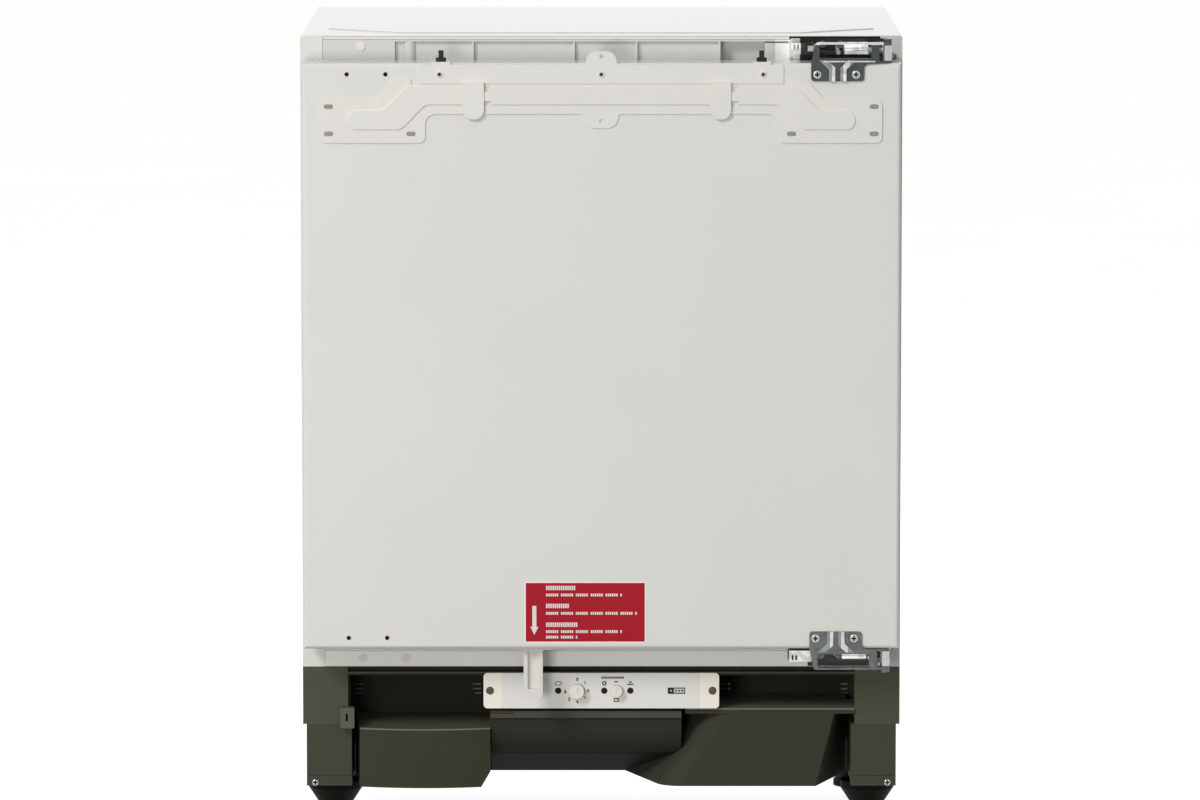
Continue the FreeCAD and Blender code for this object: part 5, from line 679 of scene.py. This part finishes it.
class FREEZER_OT_hinges(bpy.types.Operator):
    """Zinc-coated hinges, pins, screws and studs"""
    bl_idname = "freezer.hinges"
    bl_label = "Hinges and screws"

    def execute(self, context):
        look = context.scene.freezer_looks
        # Painted light on the door leaves: their dark tone is a painted reflection of a dark room, the
        # lower leaves' lighter tone a painted reflection of the floor, and the ribs, the fold and the
        # top edge carry painted highlights.
        rib, fold = (-FAR, DOOR_FRONT / MM - 3), (-FAR, DOOR_FRONT / MM - 0.5)
        leaf_painted_light = [("#676B69", room(z=LOWER_HALF)),
                ("#8E9291", room(y=rib)),
                ("#D0D3D2", room(x=(226.4, 231), y=rib)),
                ("#D0D3D2", room(x=(237.4, 244), y=rib)),
                ("#C8CCCB", room(x=(218, 269), y=fold, z=(792.0, 793.4))),
                ("#D5D8D6", room(y=fold, z=(809.0, FAR)))]
        paint(zinc_steel("galvanised_sheet", "#4E5250", bands=leaf_painted_light), "hinge_door_leaves")
        # Painted light on the cabinet brackets: their dark tone is painted shade, and the bands are
        # painted highlights on the lower arm's front, the upper bracket's left end, a short edge, the
        # springs and the bars beside them.
        spring, bar = (239.5, 263.2), (231.8, 235.6)
        bracket = [("#D6D9D7", room(x=(0, 209.4), y=(-FAR, -213), z=LOWER_HALF)),
                   ("#DEDEDA", room(x=(0, 196.5), z=UPPER_HALF)),
                   ("#C5C8C6", room(x=(203.5, 212), z=(800.5, 806))),
                   ("#F2F4F3", room(x=spring, z=(193, 203.4))),
                   ("#F2F4F3", room(x=spring, z=(797.6, 808))),
                   ("#B9BCBA", room(x=bar, z=(194.5, 205))),
                   ("#B9BCBA", room(x=bar, z=(796, 806.5)))]
        paint(zinc_steel("shaded_zinc_bracket", "#3A3D3D", contrast=0.3, bands=bracket),
              "hinge_cabinet_leaves")
        paint(zinc_steel("shaded_zinc_link", "#45484A"), "hinge_guide_arms")
        paint(plated_metal("shaded_zinc_screw", "#686B6C", rough=0.35), "hinge_cabinet_screws")
        paint(plated_metal("bright_zinc", "#BEC1C1"),
              "hinge_main_arms", "cabinet_hinge_pins", "door_hinge_pins", "leg_screws")
        lacquer = look.enamel, room(x=(-FAR, 190))
        paint(plated_metal("zinc_or_lacquer", "#BEC1C1", lacquer=lacquer), "door_front_screws")
        paint(plated_metal("blue_zinc", "#32373D", rough=0.45), "height_adjuster_studs")
        paint(plated_metal("bronzed_zinc", "#5C554C", rough=0.4), "panel_screws")
        return {"FINISHED"}


class FREEZER_OT_base(bpy.types.Operator):
    """Dark moulded base, its grilles and feet"""
    bl_idname = "freezer.base"
    bl_label = "Base and feet"

    def execute(self, context):
        look = context.scene.freezer_looks
        # The legs' lower posts are painted darker: painted shade, where the light falls off towards
        # the floor.
        post = look.base_low, room(z=(0, 125.5))
        paint(moulded_plastic("olive_polypropylene", look.base, grain=1.2, rough=0.6, relief=0.35,
                              sheen=0.2, bands=[post]), "base_side_left", "base_side_right")
        dull = dict(grain=1.2, rough=0.75, relief=0.35, sheen=0.05)
        front = (-FAR, -205)
        # The deck's dark tone is painted shade under the cabinet, and the band along its front lip a
        # painted highlight.
        edge = "#5A594E", room(y=front, z=(177.0, 178.4))
        paint(moulded_plastic("deck_polypropylene", "#35342E", bands=[edge], **dull), "base_deck")
        # On the intake scoop, a painted highlight along the front edge of its lip, and painted light
        # on its shelf, which the deck shades.
        lip, shelf = ("#75746A", room(y=front, z=(121.2, 122.4))), ("#5C5B4D", room(z=(122.4, 123)))
        paint(moulded_plastic("olive_duct_polypropylene", look.duct, bands=[lip, shelf], **dull),
              "intake_scoop")
        # On the outlet chute, a painted highlight along its lip and painted light on its top.
        lip, shelf = ("#75746A", room(y=front, z=(140.3, 141.7))), ("#6C6A60", room(z=(141.7, 142)))
        paint(moulded_plastic("olive_chute_polypropylene", look.duct, bands=[lip, shelf], **dull),
              "outlet_chute")
        # On the recess panel, painted light on its lip at the top, and painted shade at its foot,
        # where it curves back and faces down.
        top, foot = ("#504F46", room(z=(132, FAR))), ("#211F1B", room(z=(0, 94)))
        paint(moulded_plastic("olive_recess_polypropylene", "#36352E", bands=[top, foot], **dull),
              "recess_panel")
        # The hoods behind the grille's slots are painted lighter: painted light seen through the
        # slots.
        hood_painted_light = "#7A786D", room(y=(-111.9, FAR))
        paint(moulded_plastic("grille_polypropylene", "#2E2D28", bands=[hood_painted_light], **dull),
              "vent_back_wall")
        paint(moulded_plastic("clip_polyamide", "#57564A", rough=0.5, sheen=0.3), "grille_clip")
        paint(moulded_plastic("foot_polyamide", "#0E0E0D", rough=0.6, sheen=0.08),
              "foot_front_left", "foot_front_right", "foot_rear_left", "foot_rear_right")
        return {"FINISHED"}


class FREEZER_OT_cold_side(bpy.types.Operator):
    """Drawers, evaporator, compressor, condenser, pipes and switches"""
    bl_idname = "freezer.cold_side"
    bl_label = "Cold side"

    def execute(self, context):
        paint(clear_polystyrene("drawer_polystyrene", "#C9DCE4"), "drawer_baskets", "drawer_fronts")
        paint(zinc_steel("rolled_aluminium", "#D2D4D6", spangle=30.0, rough=0.35, contrast=0.05),
              "evaporator_shelves")
        paint(enamelled_steel("black_enamel", "#17181A", peel=1.2, drift=60.0, rough=0.3),
              "compressor", "condenser_tube", "condenser_wires")
        paint(zinc_steel("zinc_plate_sheet", "#A9ABAC", spangle=9.0),
              "compressor_plate", "condenser_brackets")
        paint(plated_metal("drawn_copper", "#B87350", rough=0.3), "pipework", "filter_drier")
        paint(soft_rubber("black_rubber", "#1B1B1C"), "compressor_mounts", "cord_gland")
        paint(moulded_plastic("black_polyamide", "#222224", rough=0.5),
              "compressor_terminal_box", "thermostat_switch", "selector_switch")
        paint(moulded_plastic("ferrite", "#2B2B2D", rough=0.6), "alarm_magnet")
        paint(printed_film("board_laminate", "#2F5A3A"), "control_board")
        return {"FINISHED"}


class FREEZER_OT_sticker(bpy.types.Operator):
    """Red print on a white film on the door, with an arrow and rows of plain dashes"""
    bl_idname = "freezer.sticker"
    bl_label = "Sticker"

    def execute(self, context):
        look = context.scene.freezer_looks
        wide, high = look.sticker_width, look.sticker_height
        front = DOOR_FRONT - FILM
        film = round_rectangle(STICKER_X, STICKER_Z, wide, high, FILM_CORNER)
        piece("door_sticker", [outline_plate(film, front, FILM)],
              printed_film("white_vinyl_film", "#F4EFEC"), "door")
        front -= INK
        field = round_rectangle(STICKER_X, STICKER_Z, wide - 2 * STICKER_EDGE,
                                high - 2 * STICKER_EDGE, FIELD_CORNER)
        piece("sticker_field", [outline_plate(field, front, INK)],
              printed_film("red_ink", look.sticker), "door")
        front -= INK
        parts = [outline_plate(ARROW + [STICKER_X + ARROW_X, STICKER_Z], front, INK)]
        start = STICKER_X + ROWS_LEFT
        for rise, length, tall in STICKER_ROWS:
            x = np.arange(start, start + length * MM, DASH_PITCH)
            if tall < TITLE_HEIGHT:
                x = x[np.arange(len(x)) % WORD < WORD - 1]
            parts.append(tiles(x, STICKER_Z + rise * MM, DASH_WIDTH, tall * MM, front, INK))
        piece("sticker_print", parts, printed_film("white_ink", "#E9E2DF"), "door")
        return {"FINISHED"}


class FREEZER_OT_screw_plugs(bpy.types.Operator):
    """Dark discs in the decor rail's screw sockets: painted shade"""
    bl_idname = "freezer.screw_plugs"
    bl_label = "Screw socket shade"

    def execute(self, context):
        low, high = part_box("decor_rail")
        reach = (high.x - low.x) / 2 - SOCKET_SHADE_INSET
        front, z = DOOR_FRONT - SOCKET_SHADE_PROUD, DOOR_HIGH.z - SOCKET_SHADE_DROP
        parts = [dish(x, front, z, SOCKET_SHADE_RADIUS, SOCKET_SHADE_HOLLOW) for x in (-reach, 0.0, reach)]
        # Dark discs in the sockets: painted shade.
        piece("decor_screw_socket_shade", parts,
              moulded_plastic("socket_painted_shade", "#24231F", rough=0.55, sheen=0.2), "door")
        return {"FINISHED"}


class FREEZER_OT_screw_recesses(bpy.types.Operator):
    """Dark crosses in the heads of the hinge screws and the leg screws, painted shade of their
    recesses
    """
    bl_idname = "freezer.screw_recesses"
    bl_label = "Screw recesses"

    def execute(self, context):
        # Thin dark crosses on the screw heads: painted shade of their recesses.
        dark = plated_metal("cross_recess_painted_shade", "#2C2D2C", rough=0.5)
        for name, screws, across, up, body in CROSS_SCREWS:
            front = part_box(screws)[0].y - CROSS_THICK / 2
            crosses = [cross(x * MM, z * MM, CROSS_REACH, CROSS_HALF) for x in across for z in up]
            piece(name, [outline_plate(outline, front, CROSS_THICK) for outline in crosses], dark,
                  body)
        return {"FINISHED"}


class FREEZER_OT_slot_nuts(bpy.types.Operator):
    """Grey plates in the decor carrier's slots: painted shade of the slot openings"""
    bl_idname = "freezer.slot_nuts"
    bl_label = "Slot shade"

    def execute(self, context):
        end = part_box("decor_carrier")[1].x
        front = DOOR_FRONT - SLOT_SHADE_PROUD
        shade_plates = [round_rectangle(side * (end - inset), DOOR_HIGH.z - drop, *SLOT_SHADE)
                for side in (-1, 1) for inset, drop in SLOT_SHADE_PLACES]
        # Grey plates that darken the slots: painted shade.
        piece("carrier_slot_shade", [outline_plate(shade_plate, front, SLOT_SHADE_THICK) for shade_plate in shade_plates],
              moulded_plastic("slot_painted_shade", "#96958E", rough=0.5, sheen=0.2), "decor_carrier")
        return {"FINISHED"}


class FREEZER_OT_panel_marks(bpy.types.Operator):
    """Numbers round the thermostat knob, small marks and a dark plate on the control panel"""
    bl_idname = "freezer.panel_marks"
    bl_label = "Panel marks"

    def execute(self, context):
        look = context.scene.freezer_looks
        dark = printed_film("dark_grey_ink", "#262522")
        front = PANEL_FRONT - INK
        piece("dial_numbers", self.numbers(look.figure_height, front), dark, "cabinet")
        piece("panel_marks", self.marks(front), dark, "cabinet")
        plate = round_rectangle(PLATE_X, PANEL_MIDDLE, *PLATE)
        piece("storage_mark", [outline_plate(plate, front, INK)], dark, "cabinet")
        front -= INK
        fields = [tiles(PLATE_X + shift, PANEL_MIDDLE, width, height, front, INK)
                  for shift, width, height in PALE_FIELDS]
        piece("storage_mark_light", fields, printed_film("pale_ink", "#CFCEC8"), "cabinet")
        front -= INK
        piece("storage_mark_dots", [tiles(PLATE_X + DOTS, PANEL_MIDDLE, DOT, DOT, front, INK)], dark,
              "cabinet")
        green = "#10140F", room(x=(-FAR, -20))
        paint(moulded_plastic("lens_acrylic", "#3A1114", rough=0.2, relief=0.02, sheen=0.12,
                              bands=[green]), "indicator_lenses")
        return {"FINISHED"}

    def numbers(self, height, front):
        """Figures on a circle about the thermostat knob, clockwise from the top."""
        angles = [math.radians(FIRST_ANGLE - ANGLE_STEP * k) for k in range(NUMBERS)]
        return [numeral(str(k), height, KNOB_X + NUMBER_RING * math.cos(angle), front,
                        PANEL_MIDDLE + NUMBER_RING * math.sin(angle))
                for k, angle in enumerate(angles)]

    def marks(self, front):
        """Frames round the lenses, small frames and bars near them, and a row of dashes."""
        frames = [(x, PANEL_MIDDLE, LENS_FRAME) for x in LENSES]
        frames += [(LENSES[0], MARK_ABOVE, OVAL_FRAME), (LENSES[1], MARK_ABOVE, ROUND_FRAME),
                   (SELECTOR_X, MARK_BELOW, BOX_FRAME)]
        parts = [rim(x, z, *outlines, front, INK) for x, z, outlines in frames]
        bars_x = np.array([LENSES[2], LENSES[2], SELECTOR_X])
        bars_z = MARK_ABOVE + np.array([1.3, -0.9, 1.6]) * MM
        parts.append(tiles(bars_x, bars_z, BAR_WIDTHS, BAR_HEIGHT, front, INK))
        row = np.arange(ROW_LEFT, ROW_RIGHT, DASH_PITCH)
        parts.append(tiles(row, PANEL_MIDDLE + ROW_RISE, DASH_WIDTH, ROW_HEIGHT, front, INK))
        return parts


class FREEZER_PT_tools(bpy.types.Panel):
    """Lists the freezer's operators"""
    bl_label = "Freezer"
    bl_space_type = "VIEW_3D"
    bl_region_type = "UI"
    bl_category = "Freezer"

    def draw(self, context):
        for operator in OPERATORS:
            self.layout.operator(operator.bl_idname)


OPERATORS = (FREEZER_OT_stage, FREEZER_OT_white_shell, FREEZER_OT_hinges, FREEZER_OT_base,
             FREEZER_OT_cold_side, FREEZER_OT_sticker, FREEZER_OT_screw_plugs,
             FREEZER_OT_screw_recesses, FREEZER_OT_slot_nuts, FREEZER_OT_panel_marks)
CLASSES = (FreezerLooks, FreezerStage) + OPERATORS + (FREEZER_PT_tools,)


def register():
    for item in CLASSES:
        bpy.utils.register_class(item)
    bpy.types.Scene.freezer_looks = bpy.props.PointerProperty(type=FreezerLooks)
    bpy.types.Scene.freezer_stage = bpy.props.PointerProperty(type=FreezerStage)


def unregister():
    del bpy.types.Scene.freezer_stage
    del bpy.types.Scene.freezer_looks
    for item in reversed(CLASSES):
        bpy.utils.unregister_class(item)


def main():
    register()
    bpy.ops.freezer.stage()
    bpy.ops.freezer.white_shell()
    bpy.ops.freezer.hinges()
    bpy.ops.freezer.base()
    bpy.ops.freezer.cold_side()
    bpy.ops.freezer.sticker()
    bpy.ops.freezer.screw_plugs()
    bpy.ops.freezer.screw_recesses()
    bpy.ops.freezer.slot_nuts()
    bpy.ops.freezer.panel_marks()


if __name__ == "__main__":
    main()
